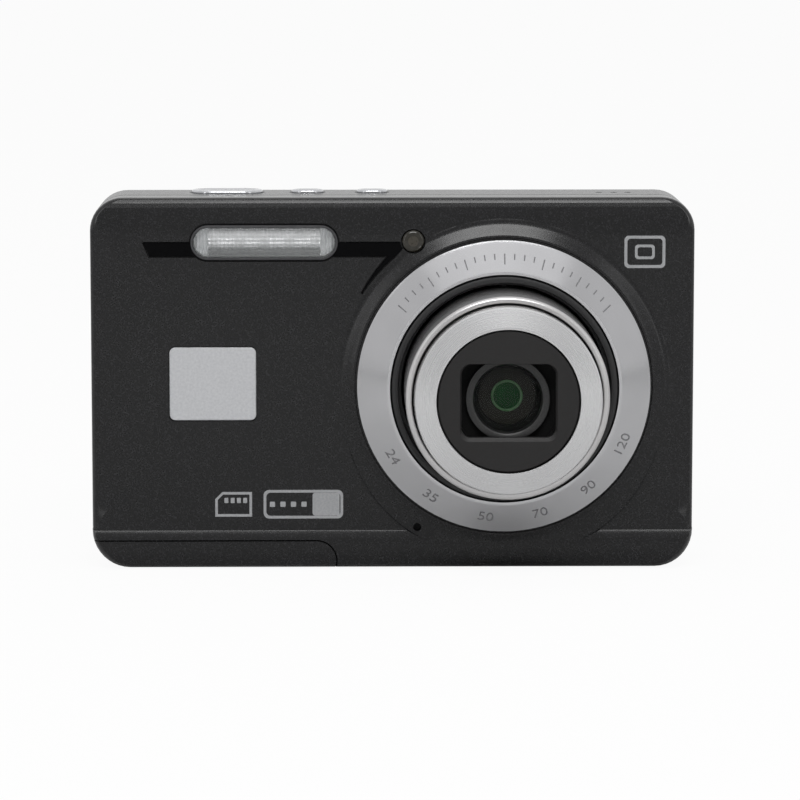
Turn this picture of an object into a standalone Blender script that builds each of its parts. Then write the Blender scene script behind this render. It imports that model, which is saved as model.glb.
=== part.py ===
"""Compact digital camera with a retracting zoom lens, in metres, +Z up, front towards -Y.

The origin is the middle of the underside. Heights in the lens are measured forward from the front face.
"""

import math

import bmesh
import bpy
from mathutils import Matrix, Vector

MM = 0.001

# Gaps between pieces
SEAM = 0.2 * MM
CLEAR = 0.3 * MM
RUN = 0.15 * MM

# Shell of two covers
BODY_WIDTH = 91.5 * MM
BODY_HEIGHT = 56.5 * MM
BODY_DEPTH = 18.0 * MM
FRONT_COVER_DEPTH = 6.0 * MM
WALL = 1.4 * MM
BACK_WALL = 1.5 * MM
TOP_CORNER = 5.0 * MM
BOTTOM_CORNER = 5.8 * MM
EDGE_ROUND = 1.6 * MM
BACK_ROUND = 1.2 * MM
BORDER_SIDE = 5.0 * MM
BORDER_BOTTOM = 5.3 * MM
BORDER_TOP = 1.75 * MM
BORDER_DROP = 0.7 * MM
CREASE_CORNER = 3.0 * MM
CORNER_STEPS = 5
KEY_CORNER_STEPS = 3
MERGE = 0.0001 * MM
PILL_FLAT = 0.001 * MM

# Lens axis from the right side and below the middle, and the collar that the front cover raises round it
LENS_INSET = 28.95 * MM
LENS_DROP = 0.25 * MM
LENS_SEGMENTS = 40
INNER_SEGMENTS = 24
CAN_SEGMENTS = 20
HOLE_SEGMENTS = 12
PIN_SEGMENTS = 8
COLLAR_SLOPE = 1.8 * MM
COLLAR_MARGIN = 0.6 * MM
COLLAR_RISE = 0.7 * MM
COLLAR_FOOT = 0.02 * MM

# Silver bezel ring and black lip
RING_WIDTH = 5.0 * MM
RING_HEIGHT = 4.5 * MM
RING_EDGE = 0.4 * MM
RING_WALL = 1.2 * MM
SPIGOT_INSET = 1.1 * MM
SPIGOT_WALL = 1.0 * MM
SPIGOT_DEPTH = 1.2 * MM
LIP_WALL = 1.0 * MM
LIP_GAP = 0.83 * MM
LIP_HEIGHT = 4.8 * MM
LIP_LENGTH = 2.4 * MM

# Outer barrel with three follower pins
OUTER_BARREL_RADIUS = 15.17 * MM
OUTER_BARREL_WALL = 0.97 * MM
OUTER_BARREL_FRONT = 16.0 * MM
OUTER_BARREL_LENGTH = 16.7 * MM
RIM_BEVEL = 0.45 * MM
FOLLOWER_RADIUS = 0.55 * MM
FOLLOWER_SETBACK = 1.0 * MM
FOLLOWER_COUNT = 3
RETRACT_TRAVEL = 11.0 * MM

# Cam ring and fixed lens housing
CAM_WALL = 1.1 * MM
CAM_GAP = 0.43 * MM
CAM_TURN = math.radians(75.0)
CAM_END = 0.75 * MM
SLOT_STEPS = 9
HOUSING_WALL = 1.2 * MM
HOUSING_BASE = 0.7 * MM
GROOVE_DEPTH = 0.5 * MM
EAR_ANGLES = (math.radians(45.0), math.radians(135.0), math.radians(225.0))
EAR_REACH = 3.3 * MM
EAR_WIDTH = 5.0 * MM
EAR_THICKNESS = 1.0 * MM

# Inner barrel, nose ring and nose plate
INNER_BARREL_WALL = 0.9 * MM
INNER_BARREL_LENGTH = 14.7 * MM
NOSE_EDGE = 18.3 * MM
NOSE_FRONT = 19.8 * MM
NOSE_WIDTH = 3.3 * MM
NOSE_SKIRT = 0.85 * MM
PLATE_SINK = 0.25 * MM
PLATE_FLANGE = 0.25 * MM
WINDOW_WIDTH = 14.1 * MM
WINDOW_HEIGHT = 11.2 * MM
WINDOW_CORNER = 1.6 * MM

# Barrier of four blades in two layers behind the nose plate
BLADE_THICKNESS = 0.25 * MM
BLADE_LAYER_GAP = 0.2 * MM
BLADE_GAP = 0.4 * MM
BLADE_PIVOT_INSET = 1.78 * MM
BLADE_PIVOT_RISE = 1.2 * MM
BLADE_OPEN_MARGIN = 0.2 * MM
BLADE_PARTING = 0.08 * MM
SECOND_BLADE_TURN = math.radians(22.5)
BLADE_PIN_RADIUS = 0.45 * MM
BLADE_STEPS = 10
CARRIER_BORE = 8.0 * MM
CARRIER_THICKNESS = 0.6 * MM

# Glass
FRONT_GLASS_RADIUS = 5.1 * MM
FRONT_GLASS_SETBACK = 3.4 * MM
FRONT_GLASS_SAG = 1.1 * MM
FRONT_GLASS_EDGE = 1.6 * MM
RETAINER_WIDTH = 1.0 * MM
RETAINER_LENGTH = 1.0 * MM
CELL_THICKNESS = 1.2 * MM
CELL_SLEEVE = 0.8 * MM
ZOOM_GLASS_RADIUS = 4.2 * MM
ZOOM_GLASS_THICKNESS = 2.0 * MM
IRIS_BORE = 2.4 * MM
IRIS_THICKNESS = 0.4 * MM
FOCUS_GLASS_RADIUS = 3.6 * MM
FOCUS_GLASS_THICKNESS = 1.6 * MM
FOCUS_HOLDER_WIDTH = 1.6 * MM
FOCUS_TRAVEL = 0.8 * MM
SENSOR_WIDTH = 8.2 * MM
SENSOR_HEIGHT = 6.6 * MM
SENSOR_THICKNESS = 0.9 * MM
SENSOR_PLATE_WIDTH = 26.0 * MM
SENSOR_PLATE_HEIGHT = 20.0 * MM
SENSOR_PLATE_THICKNESS = 0.5 * MM

# Zoom drive beside the housing
MOTOR_RADIUS = 3.8 * MM
MOTOR_LENGTH = 6.6 * MM
MOTOR_GAP = 5.0 * MM
MOTOR_ANGLE = math.radians(-42.0)
GEAR_CASE_RADIUS = 4.0 * MM
GEAR_CASE_DEPTH = 2.2 * MM
SHAFT_RADIUS = 0.6 * MM

# Frame, boards and what they carry
CHASSIS_Y = -0.3 * MM
CHASSIS_THICKNESS = 0.8 * MM
CHASSIS_TOP_DROP = 7.0 * MM
CHASSIS_CORNER = 3.0 * MM
BOARD_THICKNESS = 0.7 * MM
MAIN_BOARD_Y = 3.9 * MM
MAIN_BOARD_DROP = 9.5 * MM
KEY_BOARD_THICKNESS = 0.6 * MM
KEY_BOARD_MARGIN = 4.2 * MM
KEY_BOARD_DROP = 5.5 * MM
SWITCH_GAP = 0.2 * MM
BOARD_BOTTOM = 6.4 * MM

# Flash unit, left of the middle between the left side and the lens axis
FLASH_SHIFT = 4.925 * MM
FLASH_DROP = 6.75 * MM
FLASH_WIDTH = 21.5 * MM
FLASH_HEIGHT = 4.5 * MM
FLASH_PROUD = 0.25 * MM
FLASH_LENS_DEPTH = 1.6 * MM
FLASH_RIM = 0.35 * MM
REFLECTOR_DEPTH = 4.0 * MM
REFLECTOR_SHEET = 0.4 * MM
REFLECTOR_HEIGHT = 4.2 * MM
TUBE_RADIUS = 0.9 * MM
CAPACITOR_RADIUS = 3.3 * MM
CAPACITOR_LENGTH = 30.0 * MM
CAPACITOR_DROP = 1.65 * MM
CAPACITOR_GAP = 1.55 * MM

# Black strip beside the flash, with its tail along the collar
STRIP_TOP_DROP = 6.75 * MM
STRIP_HEIGHT = 2.1 * MM
STRIP_INSET = 8.05 * MM
STRIP_SLANT = 0.95 * MM
STRIP_DEPTH = 0.6 * MM
TAIL_END_ANGLE = math.radians(147.0)
TAIL_GAP = 1.0 * MM
TAIL_WIDTH = 0.75 * MM
TAIL_TIP = 0.12 * MM
TAIL_STEPS = 6

# Focus lamp beside the collar, microphone, badge
AF_MARGIN = 1.27 * MM
AF_DROP = 6.55 * MM
AF_RADIUS = 1.65 * MM
AF_LENGTH = 2.4 * MM
AF_PROUD = 0.25 * MM
AF_CROWN = 0.9 * MM
AF_SINK = 0.1 * MM
MIC_OFFSET = 13.1 * MM
MIC_Z = 6.35 * MM
MIC_HOLE = 0.6 * MM
MIC_RADIUS = 2.0 * MM
MIC_LENGTH = 1.6 * MM
BADGE_SHIFT = 12.775 * MM
BADGE_RISE = 0.3 * MM
BADGE_WIDTH = 13.1 * MM
BADGE_HEIGHT = 11.1 * MM
BADGE_CORNER = 0.9 * MM
BADGE_THICKNESS = 0.4 * MM

# Battery bay, card and door
DOOR_HEIGHT = 4.2 * MM
DOOR_HINGE_INSET = 0.85 * MM
DOOR_HINGE_Z = 1.2 * MM
DOOR_SLIDE = 1.5 * MM
HINGE_PIN_RADIUS = 0.5 * MM
HINGE_PIN_INSET = 2.2 * MM
HINGE_LUG_RADIUS = 0.9 * MM
HINGE_LUG_WIDTH = 1.0 * MM
HINGE_LUG_Y = 4.6 * MM
BAY_FLOOR = 0.8 * MM
BATTERY_HEADROOM = 4.0 * MM
BATTERY_THICKNESS = 5.8 * MM
BATTERY_CORNER = 1.2 * MM
BAY_WALL = 0.6 * MM
CARD_WIDTH = 24.0 * MM
CARD_HEIGHT = 32.0 * MM
CARD_THICKNESS = 2.1 * MM
CARD_CORNER = 4.0 * MM
CARD_SHIFT = 1.45 * MM
SOCKET_SHEET = 0.2 * MM
SOCKET_WRAP = 26.0 * MM
LATCH_INSET = 5.15 * MM
LATCH_Y = 0.8 * MM
LATCH_REACH = 3.6 * MM
LATCH_WIDTH = 1.8 * MM
LATCH_THICKNESS = 0.7 * MM
LATCH_STEM = 0.7 * MM

# Screen
SCREEN_WIDTH = 56.0 * MM
SCREEN_HEIGHT = 42.0 * MM
SCREEN_CORNER = 1.5 * MM
SCREEN_RIGHT_MARGIN = 3.0 * MM
SCREEN_RISE = 0.65 * MM
SCREEN_SHEET = 0.8 * MM
SCREEN_LEDGE = 2.0 * MM
SCREEN_VIEW_CORNER = 0.6 * MM
PANEL_MARGIN = 1.0 * MM
PANEL_THICKNESS = 1.6 * MM

# Buttons: the top ones by their place from the left side, width and depth
BUTTON_PROUD = 0.45 * MM
BUTTON_FLANGE = 0.7 * MM
BUTTON_FLANGE_THICKNESS = 0.6 * MM
BUTTON_CHAMFER = 0.3 * MM
BUTTON_STEM = 0.5 * MM
BUTTON_TRAVEL = 0.4 * MM
TOP_BUTTON_Y = 2.8 * MM
SHUTTER = (20.5 * MM, 10.9 * MM, 6.2 * MM)
POWER = (32.8 * MM, 4.9 * MM, 3.6 * MM)
MODE = (42.7 * MM, 4.7 * MM, 3.4 * MM)
RECORD_SIZE = 4.4 * MM
KEY_WIDTH = 6.0 * MM
KEY_HEIGHT = 3.4 * MM
KEY_SPREAD = 4.7 * MM
KEY_ROW = 11.4 * MM
ROCKER_DROP = 8.0 * MM
ROCKER_WIDTH = 12.4 * MM
ROCKER_HEIGHT = 5.2 * MM
ROCKER_TAB = 4.4 * MM
PAD_RISE = 16.95 * MM
PAD_RADIUS = 7.2 * MM
PAD_BORE = 3.7 * MM
PAD_FLANGE = 0.8 * MM
PAD_FLANGE_THICKNESS = 0.5 * MM
PAD_DEPTH = 2.7 * MM
OK_RADIUS = 3.3 * MM
OK_FLANGE = 0.7 * MM
OK_FLANGE_THICKNESS = 0.4 * MM
DOME_RADIUS = 4.6 * MM
DOME_THICKNESS = 0.15 * MM

# Sockets, lug, speaker and screws
BUSH_Y = 2.0 * MM
BUSH_SINK = 0.1 * MM
BUSH_RADIUS = 3.9 * MM
BUSH_BORE = 3.15 * MM
BUSH_BORE_DEPTH = 5.4 * MM
BUSH_HEIGHT = 6.2 * MM
BUSH_FLANGE = 0.5 * MM
BUSH_FLANGE_THICKNESS = 1.0 * MM
USB_Y = 3.0 * MM
USB_Z = 22.0 * MM
USB_HEIGHT = 7.6 * MM
USB_DEPTH = 2.9 * MM
USB_LENGTH = 5.0 * MM
USB_SHEET = 0.3 * MM
LUG_Y = 3.1 * MM
LUG_DROP = 17.8 * MM
LUG_HEIGHT = 5.2 * MM
LUG_WIDTH = 3.4 * MM
LUG_DEPTH = 2.0 * MM
LUG_FRAME = 0.4 * MM
LUG_BAR = 1.0 * MM
SPEAKER_INSET = 11.75 * MM
SPEAKER_Y = 1.8 * MM
SPEAKER_RADIUS = 4.0 * MM
MAGNET_RADIUS = 2.4 * MM
SPEAKER_THICKNESS = 2.4 * MM
SPEAKER_HOLE = 0.5 * MM
SPEAKER_PITCH = 2.2 * MM
SCREW_SEAT_RADIUS = 1.6 * MM
SCREW_SEAT_DEPTH = 0.7 * MM
SCREW_Y = 2.6 * MM
SIDE_SCREW_RISE = 13.0 * MM
SIDE_SCREW_DROP = 12.5 * MM
BOTTOM_SCREW_OFFSETS = (-14.8 * MM, 17.2 * MM)

# Faces worked out from the sizes above
LEFT = -BODY_WIDTH / 2
RIGHT = BODY_WIDTH / 2
FRONT = -BODY_DEPTH / 2
BACK = BODY_DEPTH / 2
PARTING = FRONT + FRONT_COVER_DEPTH
FRONT_INSIDE = FRONT + WALL
BACK_INSIDE = BACK - BACK_WALL
TOP_INSIDE = BODY_HEIGHT - WALL
LENS_X = RIGHT - LENS_INSET
LENS_Z = BODY_HEIGHT / 2 - LENS_DROP
LIP_BORE = OUTER_BARREL_RADIUS + LIP_GAP
RING_BORE = LIP_BORE + LIP_WALL + SEAM
RING_RADIUS = RING_BORE + RING_WIDTH
SPIGOT_RADIUS = RING_RADIUS - SPIGOT_INSET
COLLAR_CREST = RING_RADIUS + COLLAR_MARGIN
COLLAR_RADIUS = COLLAR_CREST + COLLAR_SLOPE
LEFT_MIDDLE = (LEFT + LENS_X) / 2
FLASH_X = LEFT_MIDDLE - FLASH_SHIFT
FLASH_Z = BODY_HEIGHT - FLASH_DROP
AF_Z = BODY_HEIGHT - AF_DROP
AF_X = LENS_X - math.sqrt((COLLAR_RADIUS + AF_MARGIN) ** 2 - (AF_Z - LENS_Z) ** 2)
STRIP_LEFT = LEFT + STRIP_INSET
STRIP_TOP = BODY_HEIGHT - STRIP_TOP_DROP
BADGE_X = LEFT_MIDDLE - BADGE_SHIFT
BADGE_Z = LENS_Z + BADGE_RISE
MIC_X = LENS_X - MIC_OFFSET
SPEAKER_X = RIGHT - SPEAKER_INSET
LUG_Z = BODY_HEIGHT - LUG_DROP
DOOR_BARREL = DOOR_HEIGHT - DOOR_HINGE_Z
CHASSIS_BACK = CHASSIS_Y + CHASSIS_THICKNESS
CAM_BORE = OUTER_BARREL_RADIUS + CAM_GAP
CAM_RADIUS = CAM_BORE + CAM_WALL
HOUSING_BORE = CAM_RADIUS + CLEAR
HOUSING_RADIUS = HOUSING_BORE + HOUSING_WALL
MOTOR_DISTANCE = HOUSING_RADIUS + MOTOR_GAP + MOTOR_RADIUS
MOTOR_X = LENS_X + MOTOR_DISTANCE * math.cos(MOTOR_ANGLE)
MOTOR_Z = LENS_Z + MOTOR_DISTANCE * math.sin(MOTOR_ANGLE)
FOLLOWER_HEIGHT = OUTER_BARREL_FRONT - OUTER_BARREL_LENGTH + FOLLOWER_SETBACK
CAM_FRONT = FOLLOWER_HEIGHT + FOLLOWER_RADIUS + RUN * 2 + CAM_END
CAM_REAR = FOLLOWER_HEIGHT - RETRACT_TRAVEL - FOLLOWER_RADIUS - RUN * 2 - CAM_END
HOUSING_FRONT = CAM_FRONT + CLEAR
HOUSING_FLOOR = CAM_REAR - CLEAR
HOUSING_REAR = HOUSING_FLOOR - HOUSING_BASE
INNER_BARREL_RADIUS = OUTER_BARREL_RADIUS - OUTER_BARREL_WALL - CLEAR
INNER_BARREL_BORE = INNER_BARREL_RADIUS - INNER_BARREL_WALL
INNER_BARREL_FRONT = NOSE_EDGE - CLEAR
NOSE_BORE = INNER_BARREL_RADIUS - NOSE_WIDTH
BLADE_REACH = INNER_BARREL_BORE - BLADE_GAP
BLADE_EDGE = WINDOW_HEIGHT / 2 + BLADE_OPEN_MARGIN
BLADE_PIVOT_Z = BLADE_EDGE + BLADE_PIVOT_RISE
BLADE_PIVOT_X = math.sqrt((BLADE_REACH - BLADE_PIVOT_INSET) ** 2 - BLADE_PIVOT_Z ** 2)
PLATE_REAR = NOSE_EDGE - PLATE_FLANGE / 2
MAIN_BLADE_FRONT = PLATE_REAR - BLADE_LAYER_GAP
SECOND_BLADE_FRONT = MAIN_BLADE_FRONT - BLADE_THICKNESS - BLADE_LAYER_GAP
CARRIER_FRONT = SECOND_BLADE_FRONT - BLADE_THICKNESS - BLADE_LAYER_GAP
CARRIER_REAR = CARRIER_FRONT - CARRIER_THICKNESS
GLASS_FRONT = NOSE_FRONT - FRONT_GLASS_SETBACK
BUTTON_FLANGE_OUT = BACK_INSIDE - CLEAR
BUTTON_FLANGE_IN = BUTTON_FLANGE_OUT - BUTTON_FLANGE_THICKNESS
BUTTON_TIP = BUTTON_FLANGE_IN - BUTTON_STEM
KEY_BOARD_Y = BUTTON_TIP - BUTTON_TRAVEL - SWITCH_GAP - KEY_BOARD_THICKNESS
BATTERY_LEFT = LEFT + WALL + CLEAR + BAY_WALL + CLEAR
CAPACITOR_LEFT = LENS_X - HOUSING_RADIUS - CAPACITOR_GAP - CAPACITOR_RADIUS * 2
BATTERY_RIGHT = CAPACITOR_LEFT - CLEAR - BAY_WALL - CLEAR
BATTERY_FRONT = FRONT_INSIDE + CLEAR
BATTERY_BACK = BATTERY_FRONT + BATTERY_THICKNESS
BAY_BOTTOM = DOOR_HEIGHT + SEAM + CLEAR / 2
BAY_DECK = BAY_BOTTOM + BAY_FLOOR
BATTERY_BOTTOM = BAY_DECK + CLEAR
BATTERY_TOP = FLASH_Z - REFLECTOR_HEIGHT / 2 - BATTERY_HEADROOM
CARD_X = (BATTERY_LEFT + BATTERY_RIGHT) / 2 + CARD_SHIFT
CARD_FRONT = CHASSIS_BACK + CLEAR + SOCKET_SHEET + RUN
DOOR_HINGE_X = BATTERY_RIGHT - DOOR_HINGE_INSET
LATCH_X = LEFT + LATCH_INSET
SCREEN_RIGHT = RIGHT - SCREEN_RIGHT_MARGIN
SCREEN_LEFT = SCREEN_RIGHT - SCREEN_WIDTH
SCREEN_LOW = BAY_DECK + SCREEN_RISE
SCREEN_HIGH = SCREEN_LOW + SCREEN_HEIGHT
CONTROLS_X = (LEFT + SCREEN_LEFT) / 2
PAD_Z = BAY_DECK + PAD_RISE
ROCKER_Z = BODY_HEIGHT - ROCKER_DROP


def remove_everything():
    """Start from an empty scene."""
    for thing in list(bpy.data.objects):
        bpy.data.objects.remove(thing, do_unlink=True)


def new_object(name, shape):
    """Turn a bmesh into a linked object with its faces pointing out."""
    bmesh.ops.recalc_face_normals(shape, faces=shape.faces)
    mesh = bpy.data.meshes.new(name)
    shape.to_mesh(mesh)
    shape.free()
    thing = bpy.data.objects.new(name, mesh)
    bpy.context.collection.objects.link(thing)
    return thing


def along(axis, u, v, w):
    """A point at (u, v) in the plane across an axis, w along it."""
    if axis == "X":
        return Vector((w, u, v))
    if axis == "Y":
        return Vector((u, w, v))
    return Vector((u, v, w))


def arc(u, v, radius, start, end, steps):
    """Points on a circular arc, both ends included."""
    turns = (start + (end - start) * i / steps for i in range(steps + 1))
    return [(u + radius * math.cos(a), v + radius * math.sin(a)) for a in turns]


def circle(u, v, radius, segments):
    """A closed ring of points."""
    return arc(u, v, radius, 0.0, math.tau * (segments - 1) / segments, segments - 1)


def rectangle(u0, u1, v0, v1, radii, steps=CORNER_STEPS):
    """A rectangle with a radius for each corner: low left, low right, high right, high left."""
    centres = ((u0, v0, 1, 1), (u1, v0, -1, 1), (u1, v1, -1, -1), (u0, v1, 1, -1))
    points = []
    for i, ((u, v, right, up), radius) in enumerate(zip(centres, radii)):
        start = math.pi + i * math.pi / 2
        points += arc(u + right * radius, v + up * radius, radius, start, start + math.pi / 2, steps)
    return points


def pill(u, v, width, height, grow=0.0, steps=KEY_CORNER_STEPS):
    """A rectangle with fully round ends, grown outward by an offset."""
    half_width = width / 2 + grow
    half_height = height / 2 + grow
    radius = min(half_width, half_height) - PILL_FLAT
    sides = (u - half_width, u + half_width, v - half_height, v + half_height)
    return rectangle(*sides, (radius,) * 4, steps)


def loft(name, rings):
    """Skin a run of rings with equal numbers of points and close both ends."""
    shape = bmesh.new()
    loops = [[shape.verts.new(point) for point in ring] for ring in rings]
    for near, far in zip(loops, loops[1:]):
        for i in range(len(near)):
            j = (i + 1) % len(near)
            shape.faces.new((near[i], near[j], far[j], far[i]))
    shape.faces.new(loops[0])
    shape.faces.new(loops[-1])
    return new_object(name, shape)


def stepped(name, axis, steps):
    """Loft through outlines, each at its own level along an axis."""
    return loft(name, [[along(axis, u, v, level) for u, v in outline] for outline, level in steps])


def prism(name, axis, outline, low, high):
    """Extrude one outline along an axis."""
    return stepped(name, axis, [(outline, low), (outline, high)])


def box(name, low, high):
    """A block between two corners."""
    outline = [(low[0], low[1]), (high[0], low[1]), (high[0], high[1]), (low[0], high[1])]
    return prism(name, "Z", outline, low[2], high[2])


def lens_point(radius, angle, height):
    """A point in the lens: radius and angle round its axis, height forward of the front face."""
    return Vector((LENS_X + radius * math.cos(angle), FRONT - height, LENS_Z + radius * math.sin(angle)))


def turned(name, profile, segments=LENS_SEGMENTS, start=0.0):
    """Spin a profile of (radius, height) points round the lens axis; a profile off the axis closes."""
    shape = bmesh.new()
    points = [shape.verts.new(lens_point(radius, start, height)) for radius, height in profile]
    edges = [shape.edges.new(pair) for pair in zip(points, points[1:])]
    if profile[0][0] > 0.0:
        edges.append(shape.edges.new((points[-1], points[0])))
    centre = lens_point(0.0, 0.0, 0.0)
    bmesh.ops.spin(shape, geom=points + edges, cent=centre, axis=(0, 1, 0), angle=math.tau, steps=segments)
    bmesh.ops.remove_doubles(shape, verts=shape.verts, dist=MERGE)
    return new_object(name, shape)


def tube(inner, outer, low, high):
    """The profile of a plain ring."""
    return [(inner, low), (outer, low), (outer, high), (inner, high)]


def combine(target, operation, tools):
    """Apply a Boolean with each tool in turn, then remove the tools."""
    for tool in tools:
        tool.hide_render = True
        tool.display_type = "WIRE"
        modifier = target.modifiers.new(operation, "BOOLEAN")
        modifier.operation = operation
        modifier.solver = "EXACT"
        modifier.object = tool
        view = bpy.context.evaluated_depsgraph_get()
        mesh = bpy.data.meshes.new_from_object(target.evaluated_get(view))
        target.modifiers.clear()
        target.data = mesh
        bpy.data.objects.remove(tool, do_unlink=True)
    return target


def cut(target, *tools):
    """Take the tools away from a piece."""
    return combine(target, "DIFFERENCE", tools)


def join(target, *tools):
    """Fuse the tools to a piece."""
    return combine(target, "UNION", tools)


def common(target, *tools):
    """Keep only what a piece shares with the tools."""
    return combine(target, "INTERSECT", tools)


def finish(thing, colour, roughness, metallic=0.0, origin=None, alpha=1.0):
    """Give a piece its own material, smooth shading and, if it moves, an origin on its joint's axis."""
    material = bpy.data.materials.new(thing.name + "_finish")
    material.use_nodes = True
    shader = material.node_tree.nodes["Principled BSDF"]
    shader.inputs["Base Color"].default_value = (*colour, 1.0)
    shader.inputs["Roughness"].default_value = roughness
    shader.inputs["Metallic"].default_value = metallic
    shader.inputs["Alpha"].default_value = alpha
    thing.data.materials.clear()
    thing.data.materials.append(material)
    thing.data.name = thing.name
    thing.data.shade_smooth()
    thing.data.set_sharp_from_angle(angle=math.radians(30.0))
    if origin is not None:
        thing.data.transform(Matrix.Translation(-Vector(origin)))
        thing.location = origin
    return thing


CHARCOAL = (0.028, 0.028, 0.030)
BLACK = (0.012, 0.012, 0.013)
SILVER = (0.55, 0.55, 0.56)
STEEL = (0.45, 0.45, 0.46)
GREEN_BOARD = (0.02, 0.11, 0.05)
GLASS = (0.60, 0.66, 0.64)


def body_ring(y, left, right, bottom, top, low_radius, high_radius):
    """The body's front outline at one depth, drawn in by an inset on each side."""
    sides = (LEFT + left, RIGHT - right, bottom, BODY_HEIGHT - top)
    outline = rectangle(*sides, (low_radius, low_radius, high_radius, high_radius))
    return [along("Y", u, v, y) for u, v in outline]


def even_ring(y, inset):
    """The body's outline drawn in evenly."""
    return body_ring(y, inset, inset, inset, inset, BOTTOM_CORNER - inset, TOP_CORNER - inset)


def front_rings():
    """The front face: flat panel, sloping border, rounded edge."""
    corner = (CREASE_CORNER, CREASE_CORNER)
    rings = [body_ring(FRONT, BORDER_SIDE, BORDER_SIDE, BORDER_BOTTOM, BORDER_TOP, *corner)]
    for turn in (math.radians(30.0), math.radians(60.0), math.radians(90.0)):
        depth = BORDER_DROP + EDGE_ROUND * (1 - math.cos(turn))
        rings.append(even_ring(FRONT + depth, EDGE_ROUND * (1 - math.sin(turn))))
    return rings


def back_rings():
    """The rear face and its rounded edge, from the side walls backward."""
    rings = []
    for turn in (math.radians(90.0), math.radians(45.0), 0.0):
        depth = BACK_ROUND * (1 - math.cos(turn))
        rings.append(even_ring(BACK - depth, BACK_ROUND * (1 - math.sin(turn))))
    return rings


def door_outline(grow):
    """The door seen from the front: straight top, round hinge end, open to the lower left."""
    radius = DOOR_BARREL + grow
    far = LEFT - WALL
    low = -WALL
    arc_end = -math.asin(min(1.0, (DOOR_HINGE_Z - low) / radius))
    round_end = arc(DOOR_HINGE_X, DOOR_HINGE_Z, radius, math.radians(90.0), arc_end, CORNER_STEPS * 2)
    return [(far, low), (far, DOOR_HEIGHT + grow)] + round_end


def door_space():
    """A cutter for the place that the door fills."""
    return prism("door_space", "Y", door_outline(SEAM), FRONT - WALL, BACK + WALL)


def strip_outline(grow):
    """The black strip: slanted left end, flash rim in the middle, tail along the collar on the right."""
    low = STRIP_TOP - STRIP_HEIGHT - grow
    high = STRIP_TOP + grow
    radius = FLASH_HEIGHT / 2 + RUN + FLASH_RIM + grow
    run = (FLASH_WIDTH - FLASH_HEIGHT) / 2
    low_turn = math.asin(min(1.0, (FLASH_Z - low) / radius))
    high_turn = math.asin(min(1.0, (high - FLASH_Z) / radius))
    points = [(STRIP_LEFT - grow + STRIP_SLANT, low)]
    left = FLASH_X - run
    points += arc(left, FLASH_Z, radius, math.pi + low_turn, math.pi * 1.5, CORNER_STEPS)
    right = FLASH_X + run
    points += arc(right, FLASH_Z, radius, math.pi * 1.5, math.tau - low_turn, CORNER_STEPS)
    inner = COLLAR_RADIUS + TAIL_GAP - grow
    root = inner + TAIL_WIDTH + 2 * grow
    root_angle = math.pi - math.asin((low - LENS_Z) / root)
    tip = inner + TAIL_TIP + 2 * grow
    for i in range(TAIL_STEPS + 1):
        part = i / TAIL_STEPS
        angle = root_angle + (TAIL_END_ANGLE - root_angle) * part
        reach = root + (tip - root) * part
        points.append((LENS_X + reach * math.cos(angle), LENS_Z + reach * math.sin(angle)))
    lamp = AF_RADIUS + FLASH_RIM - grow
    end_angle = math.pi - math.asin((low - LENS_Z) / inner)
    points += arc(LENS_X, LENS_Z, inner, TAIL_END_ANGLE, end_angle, TAIL_STEPS)
    points.append((AF_X - lamp * math.cos(math.radians(35.0)), AF_Z - lamp * math.sin(math.radians(35.0))))
    points.append((AF_X - lamp, high))
    points += arc(right, FLASH_Z, radius, high_turn, math.pi / 2, CORNER_STEPS)
    points += arc(left, FLASH_Z, radius, math.pi / 2, math.pi - high_turn, CORNER_STEPS)
    points.append((STRIP_LEFT - grow, high))
    return points


def badge_outline(grow):
    """The badge seat."""
    half_width = BADGE_WIDTH / 2 + grow
    half_height = BADGE_HEIGHT / 2 + grow
    sides = (BADGE_X - half_width, BADGE_X + half_width, BADGE_Z - half_height, BADGE_Z + half_height)
    return rectangle(*sides, (BADGE_CORNER + grow,) * 4, 3)


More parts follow.
